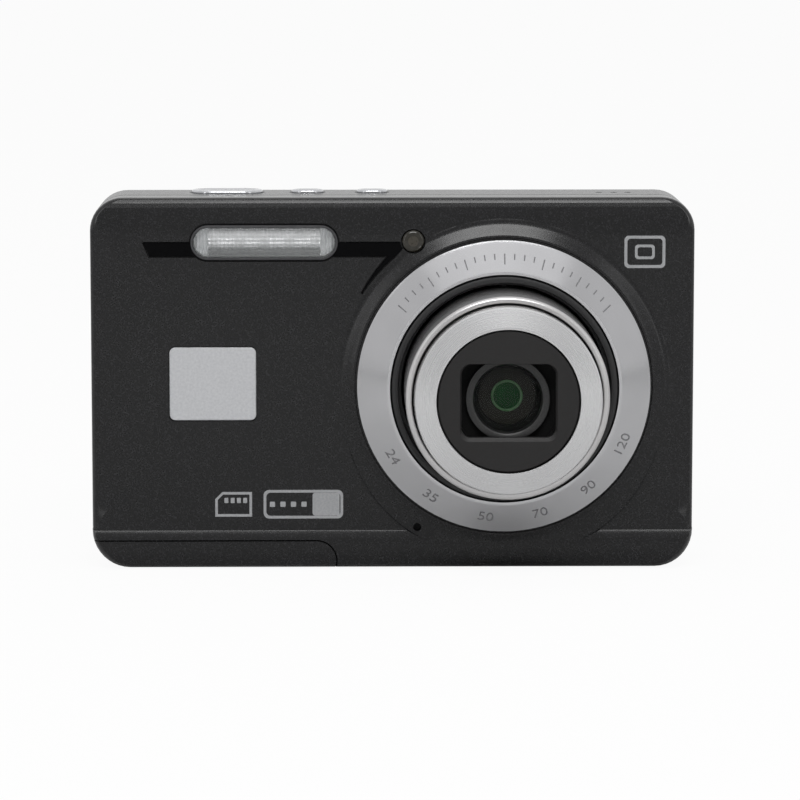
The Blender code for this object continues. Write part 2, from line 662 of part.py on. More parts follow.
def make_front_cover():
    """Front shell: sloping border, lens collar, seats for the strip, flash, lamp and badge."""
    rim = PARTING - SEAM / 2
    rings = front_rings() + [even_ring(rim, 0.0), even_ring(rim, WALL)]
    rings.append(even_ring(FRONT + BORDER_DROP + EDGE_ROUND, WALL))
    rings.append(even_ring(FRONT_INSIDE, WALL + EDGE_ROUND / 2))
    cover = loft("front_cover", rings)
    bore = SPIGOT_RADIUS + SEAM
    collar = turned("collar", [
        (bore - WALL, -WALL / 2),
        (COLLAR_RADIUS + COLLAR_SLOPE / 2, -WALL / 3),
        (COLLAR_RADIUS, COLLAR_FOOT),
        (COLLAR_RADIUS - COLLAR_SLOPE / 2, COLLAR_RISE * 0.7),
        (COLLAR_CREST, COLLAR_RISE),
        (bore - WALL, COLLAR_RISE),
    ])
    join(cover, collar)
    half_facet = math.pi / LENS_SEGMENTS
    disc = [(0.0, -WALL * 2), (bore, -WALL * 2), (bore, WALL * 2), (0.0, WALL * 2)]
    bored = turned("bore", disc, start=half_facet)
    strip_seat = prism("strip_seat", "Y", strip_outline(RUN), FRONT - WALL, FRONT + STRIP_DEPTH + RUN)
    flash = pill(FLASH_X, FLASH_Z, FLASH_WIDTH, FLASH_HEIGHT, RUN, CORNER_STEPS)
    flash_hole = prism("flash_hole", "Y", flash, FRONT - WALL, FRONT_INSIDE + WALL)
    lamp = circle(AF_X, AF_Z, AF_RADIUS + RUN, HOLE_SEGMENTS)
    lamp_hole = prism("lamp_hole", "Y", lamp, FRONT - WALL, FRONT_INSIDE + WALL)
    mic = circle(MIC_X, MIC_Z, MIC_HOLE, PIN_SEGMENTS)
    mic_hole = prism("mic_hole", "Y", mic, FRONT - WALL, FRONT_INSIDE + WALL)
    badge_floor = FRONT + BADGE_THICKNESS + RUN
    badge_seat = prism("badge_seat", "Y", badge_outline(RUN), FRONT - WALL, badge_floor)
    cut(cover, bored, strip_seat, flash_hole, lamp_hole, mic_hole, badge_seat, door_space())
    finish(cover, CHARCOAL, 0.42)


def make_front_trim():
    """Strip, flash window, focus lamp window and badge, each in its seat on the front cover."""
    strip = prism("flash_trim", "Y", strip_outline(0.0), FRONT, FRONT + STRIP_DEPTH)
    window = pill(FLASH_X, FLASH_Z, FLASH_WIDTH, FLASH_HEIGHT, RUN, CORNER_STEPS)
    cut(strip, prism("window", "Y", window, FRONT - WALL, FRONT + WALL))
    finish(strip, BLACK, 0.12)
    crown = pill(FLASH_X, FLASH_Z, FLASH_WIDTH, FLASH_HEIGHT, -FLASH_PROUD, CORNER_STEPS)
    side = pill(FLASH_X, FLASH_Z, FLASH_WIDTH, FLASH_HEIGHT, 0.0, CORNER_STEPS)
    levels = [(crown, FRONT - FLASH_PROUD), (side, FRONT), (side, FRONT + FLASH_LENS_DEPTH)]
    lens = stepped("flash_window", "Y", levels)
    finish(lens, GLASS, 0.15, alpha=0.5)
    lamp = stepped("af_lamp_window", "Y", [
        (circle(AF_X, AF_Z, AF_CROWN, HOLE_SEGMENTS), FRONT - AF_PROUD),
        (circle(AF_X, AF_Z, AF_RADIUS, HOLE_SEGMENTS), FRONT + AF_SINK),
        (circle(AF_X, AF_Z, AF_RADIUS, HOLE_SEGMENTS), FRONT + AF_LENGTH),
    ])
    finish(lamp, (0.10, 0.09, 0.06), 0.10)
    badge = prism("badge_plate", "Y", badge_outline(0.0), FRONT, FRONT + BADGE_THICKNESS)
    finish(badge, SILVER, 0.35, 1.0)


def back_keys():
    """Name, place, size of each sprung key on the back."""
    left = CONTROLS_X - KEY_SPREAD
    right = CONTROLS_X + KEY_SPREAD
    return (
        ("menu_button", right, PAD_Z + KEY_ROW, KEY_WIDTH, KEY_HEIGHT),
        ("play_button", left, PAD_Z + KEY_ROW, KEY_WIDTH, KEY_HEIGHT),
        ("record_button", right, PAD_Z - KEY_ROW, RECORD_SIZE, RECORD_SIZE),
        ("delete_button", left, PAD_Z - KEY_ROW, KEY_WIDTH, KEY_HEIGHT),
    )


def top_keys():
    """Name, place, width and depth of each sprung key on the top."""
    keys = (("shutter_button", SHUTTER), ("power_button", POWER), ("mode_button", MODE))
    return [(name, LEFT + inset, width, depth) for name, (inset, width, depth) in keys]


def screen_outline(grow, corner=SCREEN_CORNER):
    """The screen window seen from the front."""
    sides = (SCREEN_LEFT - grow, SCREEN_RIGHT + grow, SCREEN_LOW - grow, SCREEN_HIGH + grow)
    return rectangle(*sides, (corner,) * 4, KEY_CORNER_STEPS)


def through_back(name, outline):
    """A cutter right through the rear wall."""
    return prism(name, "Y", outline, BACK_INSIDE - WALL, BACK + WALL)


def screw_seat(axis, u, v, face, inward):
    """A cutter for the pocket of a sunk case screw."""
    head = circle(u, v, SCREW_SEAT_RADIUS, HOLE_SEGMENTS)
    return prism("screw_seat", axis, head, face - inward * WALL, face + inward * SCREW_SEAT_DEPTH)


def make_rear_cover():
    """Rear shell: screen window, key holes, top, bottom and side openings."""
    rim = PARTING + SEAM / 2
    rings = [even_ring(BACK_INSIDE, WALL + BACK_ROUND), even_ring(BACK_INSIDE - BACK_ROUND, WALL)]
    rings += [even_ring(rim, WALL), even_ring(rim, 0.0)] + back_rings()
    cover = loft("rear_cover", rings)
    screen_seat = prism("screen_seat", "Y", screen_outline(SEAM), BACK - SCREEN_SHEET - SEAM, BACK + WALL)
    view = screen_outline(-SCREEN_LEDGE, SCREEN_VIEW_CORNER)
    cut(cover, screen_seat, through_back("screen_view", view))
    for name, x, z, width, height in back_keys():
        cut(cover, through_back(name, pill(x, z, width, height, SEAM)))
    cut(cover, through_back("rocker", pill(CONTROLS_X, ROCKER_Z, ROCKER_WIDTH, ROCKER_HEIGHT, CLEAR)))
    cut(cover, through_back("pad", circle(CONTROLS_X, PAD_Z, PAD_RADIUS + CLEAR, INNER_SEGMENTS)))
    for name, x, width, depth in top_keys():
        outline = pill(x, TOP_BUTTON_Y, width, depth, SEAM)
        cut(cover, prism(name, "Z", outline, TOP_INSIDE - WALL, BODY_HEIGHT + WALL))
    for i in (-1, 0, 1):
        hole = circle(SPEAKER_X + i * SPEAKER_PITCH, SPEAKER_Y, SPEAKER_HOLE, PIN_SEGMENTS)
        cut(cover, prism("speaker_hole", "Z", hole, TOP_INSIDE - WALL, BODY_HEIGHT + WALL))
    bush = circle(LENS_X, BUSH_Y, BUSH_RADIUS + SEAM, INNER_SEGMENTS)
    cut(cover, prism("bush_hole", "Z", bush, -WALL, WALL * 2))
    usb = rectangle(*usb_sides(SEAM), (USB_SHEET * 2,) * 4, 2)
    cut(cover, prism("usb_hole", "X", usb, RIGHT - WALL * 2, RIGHT + WALL))
    lug = rectangle(*lug_sides(SEAM), (LUG_FRAME * 2,) * 4, 2)
    cut(cover, prism("lug_hole", "X", lug, LEFT - WALL, LEFT + WALL * 2))
    for offset in BOTTOM_SCREW_OFFSETS:
        cut(cover, screw_seat("Z", LENS_X + offset, SCREW_Y, 0.0, 1))
    for z in (SIDE_SCREW_RISE, BODY_HEIGHT - SIDE_SCREW_DROP):
        cut(cover, screw_seat("X", SCREW_Y, z, RIGHT, -1))
    cut(cover, door_space())
    finish(cover, CHARCOAL, 0.30)


def usb_sides(grow):
    """The socket's mouth on the side wall."""
    half_depth = USB_DEPTH / 2 + grow
    half_height = USB_HEIGHT / 2 + grow
    return (USB_Y - half_depth, USB_Y + half_depth, USB_Z - half_height, USB_Z + half_height)


def lug_sides(grow):
    """The strap lug's frame on the side wall."""
    half_width = LUG_WIDTH / 2 + grow
    half_height = LUG_HEIGHT / 2 + grow
    return (LUG_Y - half_width, LUG_Y + half_width, LUG_Z - half_height, LUG_Z + half_height)


def make_side_fittings():
    """Socket, strap lug, tripod bush, speaker and microphone."""
    outline = rectangle(*usb_sides(0.0), (USB_SHEET * 2,) * 4, 2)
    socket = prism("usb_socket", "X", outline, RIGHT - USB_LENGTH, RIGHT - SEAM)
    mouth = rectangle(*usb_sides(-USB_SHEET), (USB_SHEET,) * 4, 2)
    cut(socket, prism("mouth", "X", mouth, RIGHT - USB_LENGTH + USB_SHEET * 2, RIGHT + WALL))
    tongue_low = (RIGHT - USB_LENGTH + USB_SHEET, USB_Y - USB_SHEET, USB_Z - USB_HEIGHT / 3)
    tongue_high = (RIGHT - USB_SHEET * 3, USB_Y + USB_SHEET, USB_Z + USB_HEIGHT / 3)
    join(socket, box("tongue", tongue_low, tongue_high))
    finish(socket, STEEL, 0.3, 1.0)

    outline = rectangle(*lug_sides(0.0), (LUG_FRAME * 2,) * 4, 2)
    lug = prism("strap_lug", "X", outline, LEFT + SEAM, LEFT + SEAM + LUG_DEPTH)
    pocket = rectangle(*lug_sides(-LUG_FRAME), (LUG_FRAME,) * 4, 2)
    cut(lug, prism("pocket", "X", pocket, LEFT - WALL, LEFT + SEAM + LUG_DEPTH - LUG_FRAME))
    bar_low = (LEFT + SEAM + LUG_FRAME / 4, LUG_Y - LUG_BAR / 2, LUG_Z - LUG_HEIGHT / 2 + LUG_FRAME / 2)
    bar_high = (LEFT + SEAM + LUG_FRAME * 2, LUG_Y + LUG_BAR / 2, LUG_Z + LUG_HEIGHT / 2 - LUG_FRAME / 2)
    join(lug, box("bar", bar_low, bar_high))
    finish(lug, BLACK, 0.4)

    flange_low = WALL + CLEAR
    flange_high = flange_low + BUSH_FLANGE_THICKNESS
    outer = circle(LENS_X, BUSH_Y, BUSH_RADIUS, INNER_SEGMENTS)
    flange = circle(LENS_X, BUSH_Y, BUSH_RADIUS + BUSH_FLANGE, INNER_SEGMENTS)
    levels = [(outer, BUSH_SINK), (outer, flange_low), (flange, flange_low), (flange, flange_high)]
    bush = stepped("tripod_bush", "Z", levels + [(outer, flange_high), (outer, BUSH_HEIGHT)])
    bore = circle(LENS_X, BUSH_Y, BUSH_BORE, INNER_SEGMENTS)
    cut(bush, prism("bore", "Z", bore, -WALL, BUSH_BORE_DEPTH))
    finish(bush, STEEL, 0.35, 1.0)

    speaker_top = TOP_INSIDE - CLEAR
    face = circle(SPEAKER_X, SPEAKER_Y, SPEAKER_RADIUS, CAN_SEGMENTS)
    magnet = circle(SPEAKER_X, SPEAKER_Y, MAGNET_RADIUS, CAN_SEGMENTS)
    step = speaker_top - SPEAKER_THICKNESS / 2
    levels = [(face, speaker_top), (face, step), (magnet, step), (magnet, speaker_top - SPEAKER_THICKNESS)]
    finish(stepped("speaker", "Z", levels), STEEL, 0.4, 1.0)

    mic_front = FRONT_INSIDE + CLEAR
    capsule = circle(MIC_X, MIC_Z, MIC_RADIUS, HOLE_SEGMENTS)
    finish(prism("microphone", "Y", capsule, mic_front, mic_front + MIC_LENGTH), STEEL, 0.4, 1.0)


def make_bezel():
    """Silver cone ring on the collar and the black lip inside it."""
    base = COLLAR_RISE + SEAM
    edge = base + RING_EDGE
    rise = RING_HEIGHT - edge
    width = RING_WIDTH
    ring = turned("lens_ring", [
        (RING_RADIUS, base),
        (RING_RADIUS, edge),
        (RING_RADIUS - width * 0.06, edge + rise * 0.12),
        (RING_RADIUS - width * 0.45, edge + rise * 0.56),
        (RING_BORE + width * 0.12, RING_HEIGHT),
        (RING_BORE, RING_HEIGHT - RING_WALL * 0.15),
        (RING_BORE, RING_HEIGHT - RING_WALL),
        (RING_BORE + width * 0.2, RING_HEIGHT - RING_WALL * 1.2),
        (SPIGOT_RADIUS - SPIGOT_WALL, base + RING_EDGE),
        (SPIGOT_RADIUS - SPIGOT_WALL, -SPIGOT_DEPTH),
        (SPIGOT_RADIUS, -SPIGOT_DEPTH),
        (SPIGOT_RADIUS, base),
    ])
    finish(ring, SILVER, 0.28, 1.0)
    outer = LIP_BORE + LIP_WALL
    lip = turned("lens_lip", [
        (LIP_BORE, LIP_HEIGHT - LIP_LENGTH),
        (outer, LIP_HEIGHT - LIP_LENGTH),
        (outer, LIP_HEIGHT - SEAM),
        (outer - SEAM, LIP_HEIGHT),
        (LIP_BORE + SEAM * 2, LIP_HEIGHT),
        (LIP_BORE, LIP_HEIGHT - SEAM * 2),
    ])
    finish(lip, BLACK, 0.55)


def follower_angles():
    """Where the follower pins stand round the lens axis."""
    return [math.radians(90.0) + math.tau * i / FOLLOWER_COUNT for i in range(FOLLOWER_COUNT)]


def radial_pin(name, angle, height, radius, inner, outer):
    """A round pin that points out from the lens axis."""
    across = Vector((-math.sin(angle), 0.0, math.cos(angle)))
    outline = circle(0.0, 0.0, radius, PIN_SEGMENTS)
    rings = []
    for reach in (inner, outer):
        foot = lens_point(reach, angle, height)
        rings.append([foot + across * u + Vector((0.0, v, 0.0)) for u, v in outline])
    return loft(name, rings)


def helical_slot(start):
    """A cutter for one cam slot, wound from the extended to the retracted place of its pin."""
    lead_angle = math.atan(RETRACT_TRAVEL / (CAM_TURN * CAM_BORE))
    half = (FOLLOWER_RADIUS + RUN) / math.cos(lead_angle)
    margin = (FOLLOWER_RADIUS + RUN) / CAM_BORE / CAM_TURN
    inner = CAM_BORE - CAM_WALL / 2
    outer = CAM_RADIUS + CAM_WALL / 2
    corners = ((inner, half), (outer, half), (outer, -half), (inner, -half))
    parts = [-margin] + [i / SLOT_STEPS for i in range(SLOT_STEPS + 1)] + [1.0 + margin]
    rings = []
    for part in parts:
        height = FOLLOWER_HEIGHT - min(max(part, 0.0), 1.0) * RETRACT_TRAVEL
        rings.append([lens_point(reach, start + part * CAM_TURN, height + rise) for reach, rise in corners])
    return loft("slot", rings)


def make_barrels():
    """Fixed housing, cam ring with helical slots, and the outer barrel that its pins carry."""
    housing = turned("lens_housing", [
        (HOUSING_BORE, HOUSING_FRONT),
        (HOUSING_RADIUS, HOUSING_FRONT),
        (HOUSING_RADIUS, HOUSING_REAR),
        (SENSOR_WIDTH, HOUSING_REAR),
        (SENSOR_WIDTH, HOUSING_FLOOR),
        (HOUSING_BORE, HOUSING_FLOOR),
    ], INNER_SEGMENTS)
    pin_reach = HOUSING_BORE + GROOVE_DEPTH - RUN
    groove_half = FOLLOWER_RADIUS + RUN
    for angle in follower_angles():
        across = groove_half / HOUSING_BORE
        corners = [(HOUSING_BORE - CLEAR, -across), (HOUSING_BORE + GROOVE_DEPTH, -across)]
        corners += [(HOUSING_BORE + GROOVE_DEPTH, across), (HOUSING_BORE - CLEAR, across)]
        levels = (HOUSING_FLOOR + CLEAR, HOUSING_FRONT + CLEAR)
        cut(housing, loft("groove", [[lens_point(r, angle + a, h) for r, a in corners] for h in levels]))
    ear_front = FRONT - (CHASSIS_BACK + CLEAR)
    for angle in EAR_ANGLES:
        half = EAR_WIDTH / 2 / HOUSING_RADIUS
        inner = HOUSING_RADIUS - HOUSING_WALL / 2
        outer = HOUSING_RADIUS + EAR_REACH
        corners = [(inner, -half), (outer, -half * 0.6), (outer, half * 0.6), (inner, half)]
        levels = (ear_front, ear_front - EAR_THICKNESS)
        join(housing, loft("ear", [[lens_point(r, angle + a, h) for r, a in corners] for h in levels]))
    finish(housing, BLACK, 0.6)

    cam = turned("cam_ring", tube(CAM_BORE, CAM_RADIUS, CAM_REAR, CAM_FRONT))
    for angle in follower_angles():
        cut(cam, helical_slot(angle))
    finish(cam, (0.03, 0.03, 0.03), 0.5, origin=lens_point(0.0, 0.0, CAM_FRONT))

    rear = OUTER_BARREL_FRONT - OUTER_BARREL_LENGTH
    bore = OUTER_BARREL_RADIUS - OUTER_BARREL_WALL
    barrel = turned("zoom_barrel_outer", [
        (OUTER_BARREL_RADIUS, rear),
        (OUTER_BARREL_RADIUS, OUTER_BARREL_FRONT - RIM_BEVEL),
        (OUTER_BARREL_RADIUS - RIM_BEVEL, OUTER_BARREL_FRONT),
        (bore, OUTER_BARREL_FRONT),
        (bore, rear),
    ])
    pin_root = OUTER_BARREL_RADIUS - OUTER_BARREL_WALL / 2
    for angle in follower_angles():
        join(barrel, radial_pin("pin", angle, FOLLOWER_HEIGHT, FOLLOWER_RADIUS, pin_root, pin_reach))
    finish(barrel, SILVER, 0.3, 1.0, origin=lens_point(0.0, 0.0, FOLLOWER_HEIGHT))


def make_nose():
    """Inner barrel with its silver nose ring and the black plate round the window."""
    rear = INNER_BARREL_FRONT - INNER_BARREL_LENGTH
    shoulder = CARRIER_REAR - CLEAR
    barrel = turned("zoom_barrel_inner", [
        (INNER_BARREL_RADIUS, rear),
        (INNER_BARREL_RADIUS, INNER_BARREL_FRONT),
        (INNER_BARREL_BORE, INNER_BARREL_FRONT),
        (INNER_BARREL_BORE, shoulder),
        (INNER_BARREL_BORE - INNER_BARREL_WALL, shoulder),
        (INNER_BARREL_BORE, shoulder - INNER_BARREL_WALL * 2),
        (INNER_BARREL_BORE, rear),
    ])
    origin = lens_point(0.0, 0.0, NOSE_FRONT)
    finish(barrel, SILVER, 0.3, 1.0, origin=origin)
    skirt = INNER_BARREL_RADIUS - NOSE_SKIRT
    crown = NOSE_FRONT - NOSE_EDGE
    under = PLATE_REAR + PLATE_FLANGE + RUN
    ring = turned("front_ring", [
        (INNER_BARREL_RADIUS, NOSE_EDGE - SEAM / 2),
        (INNER_BARREL_RADIUS, NOSE_EDGE + crown * 0.1),
        (INNER_BARREL_RADIUS - NOSE_SKIRT / 2, NOSE_EDGE + crown * 0.45),
        (NOSE_BORE + NOSE_SKIRT * 0.7, NOSE_FRONT),
        (NOSE_BORE + RUN, NOSE_FRONT),
        (NOSE_BORE, NOSE_FRONT - RUN),
        (NOSE_BORE, under),
        (skirt, under),
        (skirt, NOSE_EDGE - SEAM / 2),
    ])
    finish(ring, SILVER, 0.25, 1.0, origin=origin)
    flange = skirt - SEAM
    crest = NOSE_FRONT - PLATE_SINK
    plate = turned("front_plate", [
        (0.0, PLATE_REAR),
        (flange, PLATE_REAR),
        (flange, PLATE_REAR + PLATE_FLANGE),
        (NOSE_BORE - SEAM, PLATE_REAR + PLATE_FLANGE),
        (NOSE_BORE - SEAM, crest),
        (0.0, crest),
    ])
    sides = (LENS_X - WINDOW_WIDTH / 2, LENS_X + WINDOW_WIDTH / 2)
    levels = (LENS_Z - WINDOW_HEIGHT / 2, LENS_Z + WINDOW_HEIGHT / 2)
    window = rectangle(*sides, *levels, (WINDOW_CORNER,) * 4, KEY_CORNER_STEPS)
    depth = (FRONT - NOSE_FRONT - WALL, FRONT - PLATE_REAR + WALL)
    cut(plate, prism("window", "Y", window, *depth))
    finish(plate, BLACK, 0.5, origin=origin)


def main_blade_turn():
    """Turn that brings a main blade's edge from above the window to the parting line."""
    reach = math.hypot(BLADE_PIVOT_X, BLADE_PIVOT_Z)
    drop = BLADE_PIVOT_Z - BLADE_EDGE + BLADE_PARTING
    return math.acos(drop / reach) - math.atan2(BLADE_PIVOT_X, BLADE_PIVOT_Z)


def blade_outline(turn):
    """An open upper blade: the cap of a disc above its edge that stays in the barrel when closed."""
    edge = BLADE_EDGE
    cosine = math.cos(turn)
    sine = math.sin(turn)
    shut_x = BLADE_PIVOT_X - BLADE_PIVOT_X * cosine - BLADE_PIVOT_Z * sine
    shut_z = BLADE_PIVOT_Z + BLADE_PIVOT_X * sine - BLADE_PIVOT_Z * cosine
    spread = math.hypot(shut_x, shut_z)
    middle = math.atan2(shut_z, shut_x)
    corner = middle - math.acos(spread / 2 / BLADE_REACH)
    shut_start = math.asin((edge - shut_z) / BLADE_REACH)
    shut_corner = math.atan2(BLADE_REACH * math.sin(corner) - shut_z, BLADE_REACH * math.cos(corner) - shut_x)
    points = arc(shut_x, shut_z, BLADE_REACH, shut_start, shut_corner, 2)
    end = math.pi - math.asin(edge / BLADE_REACH)
    return points + arc(0.0, 0.0, BLADE_REACH, corner, end, BLADE_STEPS)[1:]


def make_barrier():
    """Blade carrier with two pivot pins, and two blades on each pin."""
    seat = INNER_BARREL_BORE - SEAM
    carrier = turned("barrier_carrier", tube(CARRIER_BORE, seat, CARRIER_REAR, CARRIER_FRONT), INNER_SEGMENTS)
    pins = ((BLADE_PIVOT_X, BLADE_PIVOT_Z), (-BLADE_PIVOT_X, -BLADE_PIVOT_Z))
    pin_front = PLATE_REAR - RUN / 2
    for x, z in pins:
        outline = circle(LENS_X + x, LENS_Z + z, BLADE_PIN_RADIUS, PIN_SEGMENTS)
        pin = prism("pin", "Y", outline, FRONT - pin_front, FRONT - CARRIER_REAR - CARRIER_THICKNESS / 2)
        join(carrier, pin)
    finish(carrier, BLACK, 0.6, origin=lens_point(0.0, 0.0, NOSE_FRONT))
    layers = (
        ("main", main_blade_turn(), MAIN_BLADE_FRONT),
        ("second", SECOND_BLADE_TURN, SECOND_BLADE_FRONT),
    )
    for side, flip in (("upper", 1), ("lower", -1)):
        for layer, turn, front in layers:
            outline = [(LENS_X + flip * u, LENS_Z + flip * v) for u, v in blade_outline(turn)]
            low = FRONT - front
            blade = prism(f"barrier_{side}_{layer}", "Y", outline, low, low + BLADE_THICKNESS)
            pivot = (LENS_X + flip * BLADE_PIVOT_X, LENS_Z + flip * BLADE_PIVOT_Z)
            hole = circle(*pivot, BLADE_PIN_RADIUS + RUN, PIN_SEGMENTS)
            cut(blade, prism("hole", "Y", hole, low - CLEAR, low + BLADE_THICKNESS + CLEAR))
            finish(blade, BLACK, 0.45, origin=(pivot[0], low, pivot[1]))


def lens_profile(radius, front, sag, edge):
    """A plano-convex element with its curved side forward."""
    sphere = (radius * radius + sag * sag) / (2 * sag)
    half = math.asin(radius / sphere)
    centre = front - sphere
    dome = [(sphere * math.sin(half * i / 5), centre + sphere * math.cos(half * i / 5)) for i in range(6)]
    return dome + [(radius, front - sag - edge), (0.0, front - sag - edge)]


def make_glass():
    """Front element with its cell and retainer, zoom group, focus group, sensor and its plate."""
    origin = lens_point(0.0, 0.0, NOSE_FRONT)
    profile = lens_profile(FRONT_GLASS_RADIUS, GLASS_FRONT, FRONT_GLASS_SAG, FRONT_GLASS_EDGE)
    finish(turned("front_lens", profile, INNER_SEGMENTS), GLASS, 0.02, origin=origin, alpha=0.35)
    glass_rim = GLASS_FRONT - FRONT_GLASS_SAG
    bore = FRONT_GLASS_RADIUS + RUN
    retainer_rear = glass_rim + RUN
    retainer_front = retainer_rear + RETAINER_LENGTH
    retainer = tube(FRONT_GLASS_RADIUS - RUN, bore + RETAINER_WIDTH, retainer_rear, retainer_front)
    finish(turned("lens_retainer", retainer, INNER_SEGMENTS), BLACK, 0.4, origin=origin)
    seat = INNER_BARREL_BORE - INNER_BARREL_WALL - SEAM
    cell_front = glass_rim
    sleeve_rear = glass_rim - FRONT_GLASS_EDGE - CELL_THICKNESS
    cell = turned("front_lens_cell", [
        (bore, cell_front),
        (seat, cell_front),
        (seat, cell_front - CELL_THICKNESS),
        (bore + CELL_SLEEVE, cell_front - CELL_THICKNESS),
        (bore + CELL_SLEEVE, sleeve_rear),
        (FRONT_GLASS_RADIUS - CELL_SLEEVE, sleeve_rear),
        (FRONT_GLASS_RADIUS - CELL_SLEEVE, sleeve_rear + CELL_THICKNESS - CLEAR),
        (bore, sleeve_rear + CELL_THICKNESS - CLEAR),
    ], INNER_SEGMENTS)
    finish(cell, BLACK, 0.6, origin=origin)
    iris_front = sleeve_rear - CLEAR
    iris = tube(IRIS_BORE, bore + CELL_SLEEVE, iris_front - IRIS_THICKNESS, iris_front)
    finish(turned("iris_plate", iris, INNER_SEGMENTS), BLACK, 0.6, origin=origin)
    group_front = iris_front - IRIS_THICKNESS - CLEAR
    group_rear = group_front - ZOOM_GLASS_THICKNESS
    group = [(0.0, group_front), (ZOOM_GLASS_RADIUS, group_front)]
    group += [(ZOOM_GLASS_RADIUS, group_rear), (0.0, group_rear)]
    finish(turned("zoom_lens", group, INNER_SEGMENTS), GLASS, 0.02, origin=origin, alpha=0.35)

    focus_rear = HOUSING_REAR + CLEAR + FOCUS_TRAVEL
    focus_front = focus_rear + FOCUS_GLASS_THICKNESS
    reach = FOCUS_GLASS_RADIUS + FOCUS_HOLDER_WIDTH
    focus = turned("focus_lens", [
        (0.0, focus_front),
        (FOCUS_GLASS_RADIUS * 0.6, focus_front - FOCUS_GLASS_THICKNESS * 0.08),
        (FOCUS_GLASS_RADIUS, focus_front - FOCUS_GLASS_THICKNESS * 0.25),
        (reach, focus_front - FOCUS_GLASS_THICKNESS * 0.25),
        (SENSOR_WIDTH - CLEAR, focus_rear + FOCUS_GLASS_THICKNESS * 0.4),
        (SENSOR_WIDTH - CLEAR, focus_rear),
        (0.0, focus_rear),
    ], INNER_SEGMENTS)
    finish(focus, GLASS, 0.05, origin=lens_point(0.0, 0.0, focus_rear))

    plate_front = FRONT - HOUSING_REAR + CLEAR
    half_width = SENSOR_PLATE_WIDTH / 2
    half_height = SENSOR_PLATE_HEIGHT / 2
    low = (LENS_X - half_width, plate_front, LENS_Z - half_height)
    high = (LENS_X + half_width, plate_front + SENSOR_PLATE_THICKNESS, LENS_Z + half_height)
    finish(box("sensor_plate", low, high), STEEL, 0.4, 1.0)
    sensor_back = plate_front - RUN
    low = (LENS_X - SENSOR_WIDTH / 2, sensor_back - SENSOR_THICKNESS, LENS_Z - SENSOR_HEIGHT / 2)
    high = (LENS_X + SENSOR_WIDTH / 2, sensor_back, LENS_Z + SENSOR_HEIGHT / 2)
    finish(box("image_sensor", low, high), (0.05, 0.09, 0.08), 0.1)


def make_drive():
    """Zoom motor in front of the frame, its closed gear case behind."""
    can_back = CHASSIS_Y - CLEAR
    can = circle(MOTOR_X, MOTOR_Z, MOTOR_RADIUS, CAN_SEGMENTS)
    shaft = circle(MOTOR_X, MOTOR_Z, SHAFT_RADIUS, CAN_SEGMENTS)
    levels = [(can, can_back - MOTOR_LENGTH), (can, can_back), (shaft, can_back)]
    levels.append((shaft, CHASSIS_BACK + CLEAR / 2))
    finish(stepped("zoom_motor", "Y", levels), STEEL, 0.3, 1.0)
    near = HOUSING_RADIUS + CLEAR + GEAR_CASE_RADIUS
    near_x = LENS_X + near * math.cos(MOTOR_ANGLE)
    near_z = LENS_Z + near * math.sin(MOTOR_ANGLE)
    side = MOTOR_ANGLE + math.pi / 2
    outline = arc(near_x, near_z, GEAR_CASE_RADIUS, side, side + math.pi, 8)
    outline += arc(MOTOR_X, MOTOR_Z, GEAR_CASE_RADIUS, side + math.pi, side + math.tau, 8)
    case_front = CHASSIS_BACK + CLEAR
    finish(prism("gear_case", "Y", outline, case_front, case_front + GEAR_CASE_DEPTH), BLACK, 0.6)


